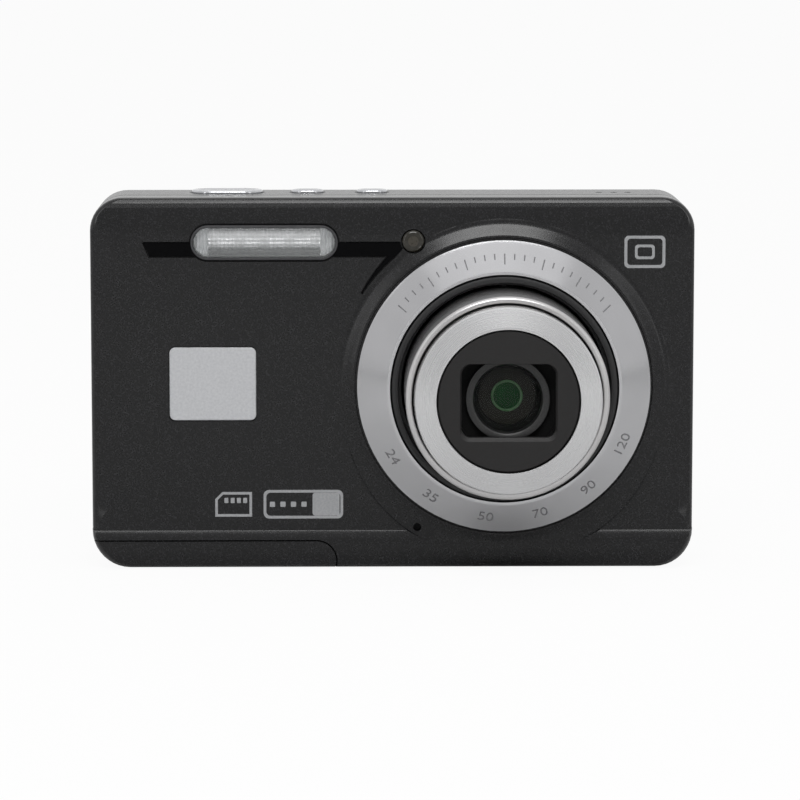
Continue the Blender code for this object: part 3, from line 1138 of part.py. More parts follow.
def make_frame():
    """Sheet frame across the body, boards, and the screen with its window."""
    left = LEFT + WALL + CLEAR
    right = RIGHT - WALL - CLEAR
    top = BODY_HEIGHT - CHASSIS_TOP_DROP
    low = WALL + CLEAR * 2
    corner = CHASSIS_CORNER
    step_x = BATTERY_RIGHT + BAY_WALL + CLEAR * 4
    over_deck = BAY_DECK + CLEAR * 2
    over_bush = BUSH_HEIGHT + CLEAR * 2
    outline = [(left, over_deck), (step_x, over_deck), (step_x, over_bush)]
    outline += [(LENS_X + BUSH_RADIUS + BUSH_FLANGE, over_bush)]
    outline += arc(right - BOTTOM_CORNER, low + BOTTOM_CORNER, BOTTOM_CORNER, math.radians(-60.0), 0.0, 3)
    outline += arc(right - corner, top - corner, corner, 0.0, math.pi / 2, 3)
    outline += arc(left + corner, top - corner, corner, math.pi / 2, math.pi, 3)
    chassis = prism("main_chassis", "Y", outline, CHASSIS_Y, CHASSIS_BACK)
    hole = circle(LENS_X, LENS_Z, HOUSING_RADIUS + CLEAR, INNER_SEGMENTS)
    shaft = circle(MOTOR_X, MOTOR_Z, SHAFT_RADIUS + CLEAR, HOLE_SEGMENTS)
    cut(chassis, prism("hole", "Y", hole, CHASSIS_Y - WALL, CHASSIS_BACK + WALL))
    cut(chassis, prism("shaft", "Y", shaft, CHASSIS_Y - WALL, CHASSIS_BACK + WALL))
    finish(chassis, STEEL, 0.4, 1.0)

    board_left = left + CLEAR * 2
    board_right = LENS_X - HOUSING_RADIUS - CLEAR * 4
    corners = (BOARD_THICKNESS,) * 4
    board_top = BODY_HEIGHT - MAIN_BOARD_DROP
    outline = rectangle(board_left, board_right, BOARD_BOTTOM, board_top, corners, 2)
    board = prism("main_board", "Y", outline, MAIN_BOARD_Y, MAIN_BOARD_Y + BOARD_THICKNESS)
    finish(board, GREEN_BOARD, 0.4)
    board_right = SCREEN_LEFT - KEY_BOARD_MARGIN
    board_top = BODY_HEIGHT - KEY_BOARD_DROP
    outline = rectangle(board_left, board_right, BOARD_BOTTOM, board_top, corners, 2)
    board = prism("key_board", "Y", outline, KEY_BOARD_Y, KEY_BOARD_Y + KEY_BOARD_THICKNESS)
    finish(board, GREEN_BOARD, 0.4)

    glass_back = BACK - SCREEN_SHEET
    finish(prism("lcd_window", "Y", screen_outline(0.0), glass_back, BACK), (0.01, 0.01, 0.012), 0.05)
    panel_back = BACK_INSIDE - CLEAR
    low = (SCREEN_LEFT + PANEL_MARGIN, panel_back - PANEL_THICKNESS, SCREEN_LOW + PANEL_MARGIN)
    high = (SCREEN_RIGHT - PANEL_MARGIN, panel_back, SCREEN_HIGH - PANEL_MARGIN)
    finish(box("lcd_panel", low, high), (0.03, 0.03, 0.035), 0.2)


def make_flash():
    """Trough reflector, tube and capacitor."""
    mouth = FRONT + FLASH_LENS_DEPTH + CLEAR
    half = REFLECTOR_HEIGHT / 2
    outer = []
    inner = []
    for i in range(9):
        part = i / 4 - 1
        depth = REFLECTOR_DEPTH * (1 - part * part)
        outer.append((mouth + depth, FLASH_Z + half * part))
        inside = depth * (1 - REFLECTOR_SHEET / REFLECTOR_DEPTH)
        inner.append((mouth + inside, FLASH_Z + (half - REFLECTOR_SHEET) * part))
    trough_half = FLASH_WIDTH / 2 - REFLECTOR_SHEET
    outline = outer + inner[::-1]
    trough = prism("flash_reflector", "X", outline, FLASH_X - trough_half, FLASH_X + trough_half)
    finish(trough, SILVER, 0.08, 1.0)
    focus_y = mouth + REFLECTOR_DEPTH * (1 - REFLECTOR_SHEET / REFLECTOR_DEPTH) - TUBE_RADIUS - CLEAR * 1.5
    glass = circle(focus_y, FLASH_Z, TUBE_RADIUS, HOLE_SEGMENTS)
    finish(prism("flash_tube", "X", glass, FLASH_X - trough_half, FLASH_X + trough_half), GLASS, 0.05)
    x = CAPACITOR_LEFT + CAPACITOR_RADIUS
    can = circle(x, CHASSIS_Y - CLEAR - CAPACITOR_RADIUS, CAPACITOR_RADIUS, CAN_SEGMENTS)
    top = BATTERY_TOP - CAPACITOR_DROP
    finish(prism("flash_capacitor", "Z", can, top - CAPACITOR_LENGTH, top), (0.02, 0.02, 0.025), 0.35)


def make_bay():
    """Battery bay with its deck and hinge lugs, battery, card, card socket and latch."""
    wall_back = BATTERY_BACK + CLEAR + BAY_WALL
    outer_left = BATTERY_LEFT - CLEAR - BAY_WALL
    inner_left = BATTERY_LEFT - CLEAR
    inner_right = BATTERY_RIGHT + CLEAR
    outer_right = inner_right + BAY_WALL
    inner_back = BATTERY_BACK + CLEAR
    top = BATTERY_TOP + CLEAR + BAY_WALL
    lip = BATTERY_FRONT + BORDER_DROP
    channel = [(outer_left, lip), (inner_left, lip), (inner_left, inner_back)]
    channel += [(inner_right, inner_back), (inner_right, lip), (outer_right, lip)]
    channel += [(outer_right, wall_back), (outer_left, wall_back)]
    bay = prism("battery_box", "Z", channel, BAY_DECK - BAY_FLOOR / 2, top)
    roof_low = (outer_left + BAY_WALL / 3, lip + BAY_WALL / 3, BATTERY_TOP + CLEAR)
    roof_high = (outer_right - BAY_WALL / 3, wall_back - BAY_WALL / 3, top - BAY_WALL / 4)
    join(bay, box("roof", roof_low, roof_high))
    deck_low = (inner_left, inner_back + BAY_WALL / 3, BAY_BOTTOM)
    deck_high = (outer_right - BAY_WALL / 4, BACK_INSIDE - CLEAR * 2, BAY_DECK)
    join(bay, box("deck", deck_low, deck_high))
    cut(bay, box("card_slot", *card_space(-WALL, WALL * 2)))
    stem_hole = circle(LATCH_X, LATCH_Y, LATCH_STEM + RUN, HOLE_SEGMENTS)
    cut(bay, prism("stem_hole", "Z", stem_hole, 0.0, BATTERY_BOTTOM + WALL))
    for y in (-HINGE_LUG_Y, HINGE_LUG_Y):
        lug_top = BAY_DECK - BAY_FLOOR / 4
        outline = arc(DOOR_HINGE_X, DOOR_HINGE_Z, HINGE_LUG_RADIUS, math.pi, math.tau, 8)
        outline += [(outer_right - BAY_WALL / 3, BAY_BOTTOM), (outer_right - BAY_WALL / 3, lug_top)]
        outline += [(DOOR_HINGE_X - HINGE_LUG_RADIUS, lug_top)]
        join(bay, prism("lug", "Y", outline, y - HINGE_LUG_WIDTH / 2, y + HINGE_LUG_WIDTH / 2))
        hole = circle(DOOR_HINGE_X, DOOR_HINGE_Z, HINGE_PIN_RADIUS + RUN, HOLE_SEGMENTS)
        cut(bay, prism("hole", "Y", hole, y - HINGE_LUG_WIDTH, y + HINGE_LUG_WIDTH))
    finish(bay, (0.03, 0.03, 0.03), 0.6)

    outline = rectangle(BATTERY_LEFT, BATTERY_RIGHT, BATTERY_FRONT, BATTERY_BACK, (BATTERY_CORNER,) * 4, 3)
    finish(prism("battery", "Z", outline, BATTERY_BOTTOM, BATTERY_TOP), (0.04, 0.04, 0.045), 0.45)

    card_low = BATTERY_BOTTOM
    card_high = card_low + CARD_HEIGHT
    half = CARD_WIDTH / 2
    outline = [(CARD_X - half, card_low), (CARD_X + half, card_low), (CARD_X + half, card_high - CARD_CORNER)]
    outline += [(CARD_X + half - CARD_CORNER, card_high), (CARD_X - half, card_high)]
    card = prism("memory_card", "Y", outline, CARD_FRONT, CARD_FRONT + CARD_THICKNESS)
    finish(card, (0.02, 0.03, 0.08), 0.4)
    low, high = card_space(0.0, SOCKET_WRAP)
    shell_low = (low[0] - SOCKET_SHEET, low[1] - SOCKET_SHEET, BAY_DECK + CLEAR)
    shell_high = (high[0] + SOCKET_SHEET, high[1] + SOCKET_SHEET, high[2])
    socket = box("card_socket", shell_low, shell_high)
    cut(socket, box("space", *card_space(-WALL, SOCKET_WRAP + WALL)))
    finish(socket, STEEL, 0.3, 1.0)

    lever_high = BAY_BOTTOM - CLEAR
    lever_low = lever_high - LATCH_THICKNESS
    half = LATCH_WIDTH / 2
    outline = arc(LATCH_X, LATCH_Y, half, 0.0, math.pi, 8)
    outline += [(LATCH_X - half, LATCH_Y - LATCH_REACH), (LATCH_X + half, LATCH_Y - LATCH_REACH)]
    latch = prism("battery_latch", "Z", outline, lever_low, lever_high)
    stem = circle(LATCH_X, LATCH_Y, LATCH_STEM, HOLE_SEGMENTS)
    join(latch, prism("stem", "Z", stem, lever_low + LATCH_THICKNESS / 3, BAY_DECK + CLEAR))
    finish(latch, (0.55, 0.16, 0.02), 0.5, origin=(LATCH_X, LATCH_Y, lever_low))


def card_space(below, above):
    """Corners of the card's clear space, from below its foot to above it."""
    half = CARD_WIDTH / 2 + RUN
    low = (CARD_X - half, CARD_FRONT - RUN, BATTERY_BOTTOM + below)
    high = (CARD_X + half, CARD_FRONT + CARD_THICKNESS + RUN, BATTERY_BOTTOM + above)
    return low, high


def make_door():
    """Battery door cut from the body's own outer form, a tray with a slotted hinge barrel, and its pin."""
    door = prism("battery_door", "Y", door_outline(0.0), FRONT - WALL, BACK + WALL)
    common(door, loft("body_form", front_rings() + back_rings()))
    tray_right = DOOR_HINGE_X - DOOR_BARREL - CLEAR
    radius = BOTTOM_CORNER - WALL
    radii = (radius, radius / 4, radius / 4, radius / 4)
    tray = rectangle(LEFT + WALL, tray_right, WALL, DOOR_HEIGHT + WALL + radius, radii)
    cut(door, prism("tray", "Y", tray, FRONT_INSIDE + BORDER_DROP, BACK_INSIDE))
    slot = arc(DOOR_HINGE_X, DOOR_HINGE_Z, HINGE_PIN_RADIUS + RUN, math.pi / 2, math.pi * 1.5, 6)
    slot_end = DOOR_HINGE_X + DOOR_SLIDE
    slot += arc(slot_end, DOOR_HINGE_Z, HINGE_PIN_RADIUS + RUN, math.pi * 1.5, math.pi * 2.5, 6)
    pin_front = FRONT + HINGE_PIN_INSET
    pin_back = BACK - HINGE_PIN_INSET
    cut(door, prism("slot", "Y", slot, pin_front - CLEAR, pin_back + CLEAR))
    for y in (-HINGE_LUG_Y, HINGE_LUG_Y):
        half = HINGE_LUG_WIDTH / 2 + CLEAR
        low = (DOOR_HINGE_X - HINGE_LUG_RADIUS - CLEAR, y - half, -WALL)
        high = (DOOR_HINGE_X + DOOR_BARREL + WALL, y + half, DOOR_HEIGHT + WALL)
        cut(door, box("notch", low, high))
    finish(door, CHARCOAL, 0.4, origin=(DOOR_HINGE_X, 0.0, DOOR_HINGE_Z))
    outline = circle(DOOR_HINGE_X, DOOR_HINGE_Z, HINGE_PIN_RADIUS, HOLE_SEGMENTS)
    pin = prism("door_hinge_pin", "Y", outline, pin_front, pin_back)
    finish(pin, STEEL, 0.3, 1.0, origin=(DOOR_HINGE_X, 0.0, DOOR_HINGE_Z))


def key_levels(x, other, width, height, levels):
    """Outlines of a flanged key: chamfered cap, flange behind the wall, stem."""
    crown, edge, flange_out, flange_in, tip = levels
    cap = pill(x, other, width, height)
    flange = pill(x, other, width, height, BUTTON_FLANGE)
    stem = pill(x, other, width, height, -BUTTON_FLANGE)
    steps = [(pill(x, other, width, height, -BUTTON_CHAMFER), crown), (cap, edge), (cap, flange_out)]
    return steps + [(flange, flange_out), (flange, flange_in), (stem, flange_in), (stem, tip)]


def make_keys():
    """Sprung keys on the back and the top."""
    crown = BACK + BUTTON_PROUD
    levels = (crown, crown - BUTTON_CHAMFER, BUTTON_FLANGE_OUT, BUTTON_FLANGE_IN, BUTTON_TIP)
    for name, x, z, width, height in back_keys():
        key = stepped(name, "Y", key_levels(x, z, width, height, levels))
        finish(key, BLACK, 0.35, origin=(x, BACK, z))
    crown = BODY_HEIGHT + BUTTON_PROUD
    flange_out = TOP_INSIDE - CLEAR
    flange_in = flange_out - BUTTON_FLANGE_THICKNESS
    levels = (crown, crown - BUTTON_CHAMFER, flange_out, flange_in, flange_in - BUTTON_STEM)
    for name, x, width, depth in top_keys():
        key = stepped(name, "Z", key_levels(x, TOP_BUTTON_Y, width, depth, levels))
        finish(key, SILVER, 0.18, 1.0, origin=(x, TOP_BUTTON_Y, BODY_HEIGHT))


def make_rocker_and_pad():
    """Zoom rocker on a middle tab, four-way pad with its centre button, dome under the pad."""
    crown = BACK + BUTTON_PROUD
    cap = (CONTROLS_X, ROCKER_Z, ROCKER_WIDTH, ROCKER_HEIGHT)
    rocker = stepped("zoom_rocker", "Y", [
        (pill(*cap, -BUTTON_CHAMFER), crown),
        (pill(*cap), crown - BUTTON_CHAMFER),
        (pill(*cap), BUTTON_FLANGE_IN - CLEAR),
    ])
    reach = ROCKER_HEIGHT / 2 + CLEAR + BUTTON_FLANGE
    low = (CONTROLS_X - ROCKER_TAB / 2, BUTTON_FLANGE_IN - CLEAR / 2, ROCKER_Z - reach)
    high = (CONTROLS_X + ROCKER_TAB / 2, BUTTON_FLANGE_OUT - CLEAR / 2, ROCKER_Z + reach)
    join(rocker, box("tab", low, high))
    finish(rocker, SILVER, 0.3, 1.0, origin=(CONTROLS_X, BACK_INSIDE, ROCKER_Z))

    centre = (CONTROLS_X, PAD_Z)
    pad_in = crown - PAD_DEPTH - BUTTON_PROUD
    ledge = pad_in + PAD_FLANGE_THICKNESS
    well = pad_in + PAD_FLANGE_THICKNESS * 2 + CLEAR
    recess = PAD_BORE + OK_FLANGE + CLEAR / 2
    segments = INNER_SEGMENTS
    outer = [(PAD_RADIUS - BUTTON_CHAMFER, crown), (PAD_RADIUS, crown - BUTTON_CHAMFER), (PAD_RADIUS, ledge)]
    outer += [(PAD_RADIUS + PAD_FLANGE, ledge), (PAD_RADIUS + PAD_FLANGE, pad_in)]
    inner = [(recess, pad_in), (recess, well), (PAD_BORE, well), (PAD_BORE, crown - BUTTON_CHAMFER)]
    inner.append((PAD_BORE + BUTTON_CHAMFER, crown))
    shape = bmesh.new()
    rings = []
    for radius, level in outer + inner:
        rings.append([shape.verts.new(along("Y", u, v, level)) for u, v in circle(*centre, radius, segments)])
    for near, far in zip(rings, rings[1:] + rings[:1]):
        for i in range(segments):
            j = (i + 1) % segments
            shape.faces.new((near[i], near[j], far[j], far[i]))
    finish(new_object("nav_pad", shape), BLACK, 0.35, origin=(CONTROLS_X, BACK_INSIDE, PAD_Z))

    ok_in = pad_in + CLEAR
    ok_ledge = ok_in + OK_FLANGE_THICKNESS
    face = circle(*centre, OK_RADIUS - BUTTON_CHAMFER, segments)
    side = circle(*centre, OK_RADIUS, segments)
    wide = circle(*centre, OK_RADIUS + OK_FLANGE, segments)
    levels = [(face, crown), (side, crown - BUTTON_CHAMFER), (side, ok_ledge)]
    levels += [(wide, ok_ledge), (wide, ok_in)]
    finish(stepped("ok_button", "Y", levels), BLACK, 0.3, origin=(CONTROLS_X, BACK, PAD_Z))
    dome_out = pad_in - CLEAR - RUN / 2
    disc = circle(*centre, DOME_RADIUS, CAN_SEGMENTS)
    dome = prism("nav_dome", "Y", disc, dome_out - DOME_THICKNESS, dome_out)
    finish(dome, STEEL, 0.3, 1.0, origin=(CONTROLS_X, BACK_INSIDE, PAD_Z))


remove_everything()
make_front_cover()
make_front_trim()
make_rear_cover()
make_side_fittings()
make_bezel()
make_barrels()
make_nose()
make_barrier()
make_glass()
make_drive()
make_frame()
make_flash()
make_bay()
make_door()
make_keys()
make_rocker_and_pad()
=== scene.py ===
from math import asin, cos, degrees, radians, sin, sqrt

import bmesh
import bpy
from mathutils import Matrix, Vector


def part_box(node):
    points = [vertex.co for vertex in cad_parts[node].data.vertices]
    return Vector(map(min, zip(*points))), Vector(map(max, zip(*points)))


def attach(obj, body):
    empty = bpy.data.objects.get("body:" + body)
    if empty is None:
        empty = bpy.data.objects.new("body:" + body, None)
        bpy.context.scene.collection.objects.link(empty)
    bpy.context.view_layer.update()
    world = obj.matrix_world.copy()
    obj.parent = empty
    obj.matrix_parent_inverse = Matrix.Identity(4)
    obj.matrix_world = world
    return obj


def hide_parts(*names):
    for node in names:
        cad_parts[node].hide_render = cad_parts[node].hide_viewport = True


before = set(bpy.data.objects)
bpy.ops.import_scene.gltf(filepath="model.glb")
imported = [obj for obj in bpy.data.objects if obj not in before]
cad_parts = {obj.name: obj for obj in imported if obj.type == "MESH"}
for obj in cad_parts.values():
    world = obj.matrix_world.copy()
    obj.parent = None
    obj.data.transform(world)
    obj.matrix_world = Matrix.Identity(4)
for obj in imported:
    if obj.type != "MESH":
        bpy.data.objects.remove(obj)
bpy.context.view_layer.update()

# Front cover: a moulded shell half, sprayed charcoal with fine metal flake under a satin lacquer.
# Its collar carries the lens bezel and runs into a proud band along the foot; the panel between lies lower.
# It clips and screws to the rear cover along a seam round the sides.
MM = 0.001


def extent(node):
    """The low and the high corner of a CAD node's box, in millimetres."""
    return [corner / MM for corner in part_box(node)]


def middle(node):
    """The middle of a CAD node's box, in millimetres."""
    return [(low + high) / 2 for low, high in zip(*extent(node))]


shell_low, shell_high = extent("rear_cover")
LEFT = shell_low.x
RIGHT = shell_high.x
TOP = shell_high.z
BACK = shell_high.y
FRONT = -BACK
PARTING = -3.0
LENS_X, _, LENS_Z = middle("front_ring")
WALL = 1.4
SEAM = 0.2
FOOT_CORNER = 5.8
TOP_CORNER = 5.0
EDGE_DEPTH = 2.3
BAND_TOP = 5.9
BAND_PROUD = 0.6
SKIRT_PROUD = 0.5
COLLAR_CREST = 22.5
COLLAR_FOOT = 25.3
COLLAR_RISE = 0.7
GROOVE = 0.55
SPIGOT_BORE = 21.3
SMOOTH_BELOW = radians(32.0)


def arc(u, v, radius, start, end, steps=10):
    """Points on an arc between two angles in degrees, both ends included."""
    turns = [radians(start + (end - start) * i / steps) for i in range(steps + 1)]
    return [(u + radius * cos(turn), v + radius * sin(turn)) for turn in turns]


def circle(u, v, radius, steps=48, start=0.0):
    """Points round a whole circle."""
    return arc(u, v, radius, start, start + 360, steps)[:-1]


def rounded(u0, u1, v0, v1, low, high, steps=10, stations=0):
    """A rectangle with one radius for low and one for high corners, and points along its sides."""
    rise = [v0 + low + (v1 - high - v0 - low) * i / (stations + 1) for i in range(1, stations + 1)]
    points = arc(u0 + low, v0 + low, low, 180, 270, steps)
    points += arc(u1 - low, v0 + low, low, 270, 360, steps)
    points += [(u1, v) for v in rise]
    points += arc(u1 - high, v1 - high, high, 0, 90, steps)
    points += arc(u0 + high, v1 - high, high, 90, 180, steps)
    return points + [(u0, v) for v in reversed(rise)]


def block(u, v, width, height, corner, steps=10):
    """A rectangle about its middle, with one corner radius."""
    return rounded(u - width / 2, u + width / 2, v - height / 2, v + height / 2, corner, corner, steps)


def pill(u, v, width, height):
    """A bar with round ends, as an outline that can grow."""
    radius = min(width, height) / 2 - 0.001
    return lambda grow: block(u, v, width + 2 * grow, height + 2 * grow, radius + grow)


def place(axis, u, v, w):
    """A point in metres: u and v across an axis, w along it."""
    spots = {"X": (w, u, v), "Y": (u, w, v), "Z": (u, v, w)}
    return Vector(spots[axis]) * MM


def skin(rings, ends=True):
    """Faces between rings of equally many points, closed at both ends or joined in a loop."""
    shape = bmesh.new()
    loops = [[shape.verts.new(point) for point in ring] for ring in rings]
    following = loops[1:] if ends else loops[1:] + loops[:1]
    for near, far in zip(loops, following):
        for i in range(len(near)):
            j = (i + 1) % len(near)
            shape.faces.new((near[i], near[j], far[j], far[i]))
    if ends:
        shape.faces.new(loops[0])
        shape.faces.new(loops[-1])
    bmesh.ops.recalc_face_normals(shape, faces=shape.faces)
    return shape


def levels(axis, *steps, ends=True):
    """A body through outlines, each at its level along an axis."""
    return skin([[place(axis, u, v, level) for u, v in outline] for outline, level in steps], ends)


def straight(axis, outline, low, high):
    """A body with one outline from a level to another."""
    return levels(axis, (outline, low), (outline, high))


def lathe(profile, steps=144, start=0.0):
    """A profile of radius and height before the front face, turned round the lens axis."""
    turned = [(circle(LENS_X, LENS_Z, radius, steps, start), FRONT - height) for radius, height in profile]
    return levels("Y", *turned, ends=profile[0][0] < 0.01)


def link(name, data):
    """A new object in the scene."""
    made = bpy.data.objects.new(name, data)
    bpy.context.scene.collection.objects.link(made)
    return made


def solid(name, shape):
    """A mesh object from a bmesh."""
    mesh = bpy.data.meshes.new(name)
    shape.to_mesh(mesh)
    shape.free()
    return link(name, mesh)


def baked(made):
    """An object's mesh with its modifiers applied."""
    return bpy.data.meshes.new_from_object(made.evaluated_get(bpy.context.evaluated_depsgraph_get()))


def carve(target, operation, *shapes):
    """Apply a Boolean with each shape in turn."""
    for shape in shapes:
        tool = solid("tool", shape)
        modifier = target.modifiers.new(operation, "BOOLEAN")
        modifier.operation = operation
        modifier.solver = "EXACT"
        modifier.object = tool
        target.data = baked(target)
        target.modifiers.clear()
        bpy.data.objects.remove(tool, do_unlink=True)
    return target


def settle(made, body, finish, slot, *nodes):
    """Smooth an object, finish it, and let it ride on a body in place of its nodes."""
    made.data.materials.append(finish)
    made.data.shade_smooth()
    made.data.set_sharp_from_angle(angle=SMOOTH_BELOW)
    made.modifiers.new("Normals", "WEIGHTED_NORMAL").keep_sharp = True
    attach(made, body)
    if nodes:
        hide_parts(*nodes)
    return made


def piece(name, shape, *fixing):
    """Make a mesh object and settle it."""
    return settle(solid(name, shape), *fixing)


def srgb(text):
    """A colour as a screen shows it, made linear."""
    parts = [int(text[i:i + 2], 16) / 255 for i in (0, 2, 4)]
    return tuple(p / 12.92 if p <= 0.04045 else ((p + 0.055) / 1.055) ** 2.4 for p in parts) + (1.0,)


def add(tree, kind, values=(), links=(), **settings):
    """One shader node: settings, constant inputs and what feeds it, an output or a node's first one."""
    node = tree.nodes.new("ShaderNode" + kind)
    for name, value in settings.items():
        setattr(node, name, value)
    for name, value in dict(values).items():
        node.inputs[name].default_value = value
    for name, source in dict(links).items():
        tree.links.new(getattr(source, "outputs", [source])[0], node.inputs[name])
    return node


def empty_material(name):
    """A material with object coordinates and nothing else yet."""
    made = bpy.data.materials.new(name)
    made.use_nodes = True
    tree = made.node_tree
    tree.nodes.clear()
    return made, tree, add(tree, "TexCoord").outputs["Object"]


def surface(tree, pick, shades, values, links):
    """Close a material: colour from a ramp of shades, the other sockets constant or fed."""
    tone = add(tree, "ValToRGB", (), {"Fac": pick})
    elements = tone.color_ramp.elements
    for i, (stop, shade) in enumerate(shades):
        element = elements[i] if i < 2 else elements.new(stop)
        element.position = stop
        element.color = srgb(shade)
    shader = add(tree, "BsdfPrincipled", values, {"Base Color": tone, **links})
    add(tree, "OutputMaterial", (), {"Surface": shader})


def grained(name, dark, light, grain, roughness, relief, **values):
    """A surface whose colour, gloss and height vary together at one grain size in millimetres."""
    made, tree, spot = empty_material(name)
    noise = add(tree, "TexNoise", {"Scale": 1 / (grain * MM), "Detail": 3.0}, {"Vector": spot})
    spread = {"From Min": 0.3, "From Max": 0.7, "To Min": roughness * 0.85, "To Max": roughness * 1.15}
    gloss = add(tree, "MapRange", spread, {"Value": noise})
    bump = add(tree, "Bump", {"Distance": relief * MM}, {"Height": noise})
    sockets = {key.replace("_", " ").title().replace("Ior", "IOR"): value for key, value in values.items()}
    surface(tree, noise, ((0.3, dark), (0.7, light)), sockets, {"Roughness": gloss, "Normal": bump})
    return made


def flake_paint():
    """Charcoal paint: single flakes catch the light as fine specks, the lacquer gives a soft sheen.

    Real flakes are near 0.05 mm; they are drawn coarser, so that they show at this distance.
    """
    made, tree, spot = empty_material("charcoal_flake_paint")
    flakes = add(tree, "TexVoronoi", {"Scale": 1 / (0.16 * MM)}, {"Vector": spot}).outputs["Color"]
    pick = add(tree, "SeparateColor", (), {"Color": flakes})
    cloud = add(tree, "TexNoise", {"Scale": 1 / (2.5 * MM)}, {"Vector": spot})
    gloss = add(tree, "MapRange", {"To Min": 0.2, "To Max": 0.26}, {"Value": cloud})
    bump = add(tree, "Bump", {"Strength": 0.3, "Distance": 0.004 * MM}, {"Height": pick})
    shades = ((0.0, "0f0f10"), (1.0, "262628"), (0.72, "131314"))
    surface(tree, pick, shades, {"IOR": 1.38}, {"Roughness": gloss, "Normal": bump})
    return made


def ease(part):
    """A smooth step from 0 to 1."""
    part = min(1.0, max(0.0, part))
    return part * part * (3 - 2 * part)


def shell_ring(y, inset, draw=0.0):
    """The body's outline at one depth, inset evenly and drawn in further along its sides."""
    sides = (LEFT + inset, RIGHT - inset, inset, TOP - inset)
    points = []
    for u, v in rounded(*sides, FOOT_CORNER - inset, TOP_CORNER - inset, stations=24):
        pull = draw * ease((v - FOOT_CORNER) / 7) * ease((TOP - 2.5 - v) / 8.5)
        points.append(place("Y", u + pull if u < 0 else u - pull, v, y))
    return points


def front_rings():
    """The panel, its sloping side borders and the rounded edge, as inset, depth and draw."""
    steps = ((0.7, 0.0, 4.2), (0.67, 0.05, 3.8), (0.6, 0.42, 1.0), (0.54, 0.55, 0.0), (0.42, 0.68, 0.0))
    steps += ((0.22, 0.9, 0.0), (0.08, 1.2, 0.0), (0.02, 1.6, 0.0), (0.0, EDGE_DEPTH, 0.0))
    return [shell_ring(FRONT + depth, inset, draw) for inset, depth, draw in steps]


def back_rings():
    """The rounded edge of the rear face."""
    turns = [radians(turn) for turn in (90, 72, 54, 36, 18, 0)]
    return [shell_ring(BACK - 1.2 * (1 - cos(turn)), 1.2 * (1 - sin(turn))) for turn in turns]


def brow():
    """What the panel's top edge loses where it leans back towards the top."""
    steps = ((-2, 50.4), (-0.02, 50.4), (0.06, 52.4), (0.18, 53.9), (0.36, 55.0), (0.56, 55.7), (1.0, 56.55))
    profile = [(FRONT + depth, z) for depth, z in steps + ((1.0, 58), (-2, 58))]
    return straight("X", profile, LEFT - 1, RIGHT + 1)


def foot_band():
    """The proud band along the foot, whose face rolls from facing up to facing down."""
    steps = ((EDGE_DEPTH, 0.05), (0.1, 0.05), (-0.08, -0.1), (-0.25, -0.6), (-0.45, -1.3), (-0.57, -2.1))
    profile = [(FRONT + depth, BAND_TOP + rise) for depth, rise in steps + ((-BAND_PROUD, -3.0),)]
    foot = ((-0.59, 2.0), (-0.5, 1.2), (-0.3, 0.55), (0.0, 0.2), (0.35, -0.5), (EDGE_DEPTH, -0.5))
    profile += [(FRONT + depth, z) for depth, z in foot]
    band = solid("band", straight("X", profile, LEFT - 1, RIGHT + 1))
    steps = ((1.0, -0.7), (0.55, -0.3), (0.27, 0.15), (0.1, 0.6), (0.02, 1.1), (-0.02, 1.6), (-0.02, 2.5))
    carve(band, "INTERSECT", skin([shell_ring(FRONT + depth, inset) for inset, depth in steps]))
    shape = bmesh.new()
    shape.from_mesh(band.data)
    bpy.data.objects.remove(band, do_unlink=True)
    return shape


def collar_skirt():
    """The collar's lower half, which spreads into the band; the upper half lies sunk."""
    rings = [[] for _ in range(7)]
    for i in range(120):
        turn = radians(0.7 + 3 * i)
        down = -degrees(asin(sin(turn)))
        reach = 25.0 + 1.5 * ease((down - 4) / 56)
        step = (SKIRT_PROUD + 0.3) * ease((down + 4) / 44) - 0.3
        section = ((18.0, -0.9), (reach, -0.9), (reach, step - 0.14), (reach - 0.13, step))
        section += ((23.3, 0.62), (22.9, 0.7), (18.0, 0.7))
        for ring, (radius, height) in zip(rings, section):
            rise = max(radius * sin(turn), 2.8 - LENS_Z + 0.5 * (reach - min(radius, reach)))
            ring.append(place("Y", LENS_X + radius * cos(turn), LENS_Z + rise, FRONT - height))
    return skin(rings, ends=False)


HINGE_X, _, HINGE_Z = middle("door_hinge_pin")
HINGE_ROUND = 3.0
flash_low, flash_high = extent("flash_window")
FLASH_X, _, FLASH_Z = middle("flash_window")
FLASH_WIDTH = flash_high.x - flash_low.x
FLASH_HEIGHT = flash_high.z - flash_low.z
LAMP_X, _, LAMP_Z = middle("af_lamp_window")
LAMP_RADIUS = 1.65
badge_low, badge_high = extent("badge_plate")
MIC_X, _, MIC_Z = middle("microphone")
RIM = 0.35
RUN = 0.15
STRIP_TOP = 49.75
STRIP_HEIGHT = 2.1
STRIP_LEFT = -37.7
STRIP_SLANT = 0.95
# The strip's tail is painted shade: a dark band at the collar's foot, standing in for its shadow
SHADE_TAIL_END = 147.0
SHADE_TAIL_REACH = 25.6
SHADE_TAIL_WIDTH = 0.75


def door_block(grow):
    """The battery door through the whole depth: straight top, round hinge end, open below."""
    end = -degrees(asin((HINGE_Z + WALL) / (HINGE_ROUND + grow)))
    outline = [(LEFT - WALL, -WALL), (LEFT - WALL, HINGE_Z + HINGE_ROUND + grow)]
    outline += arc(HINGE_X, HINGE_Z, HINGE_ROUND + grow, 90, end, 16)
    return straight("Y", outline, FRONT - 2, BACK + 2)


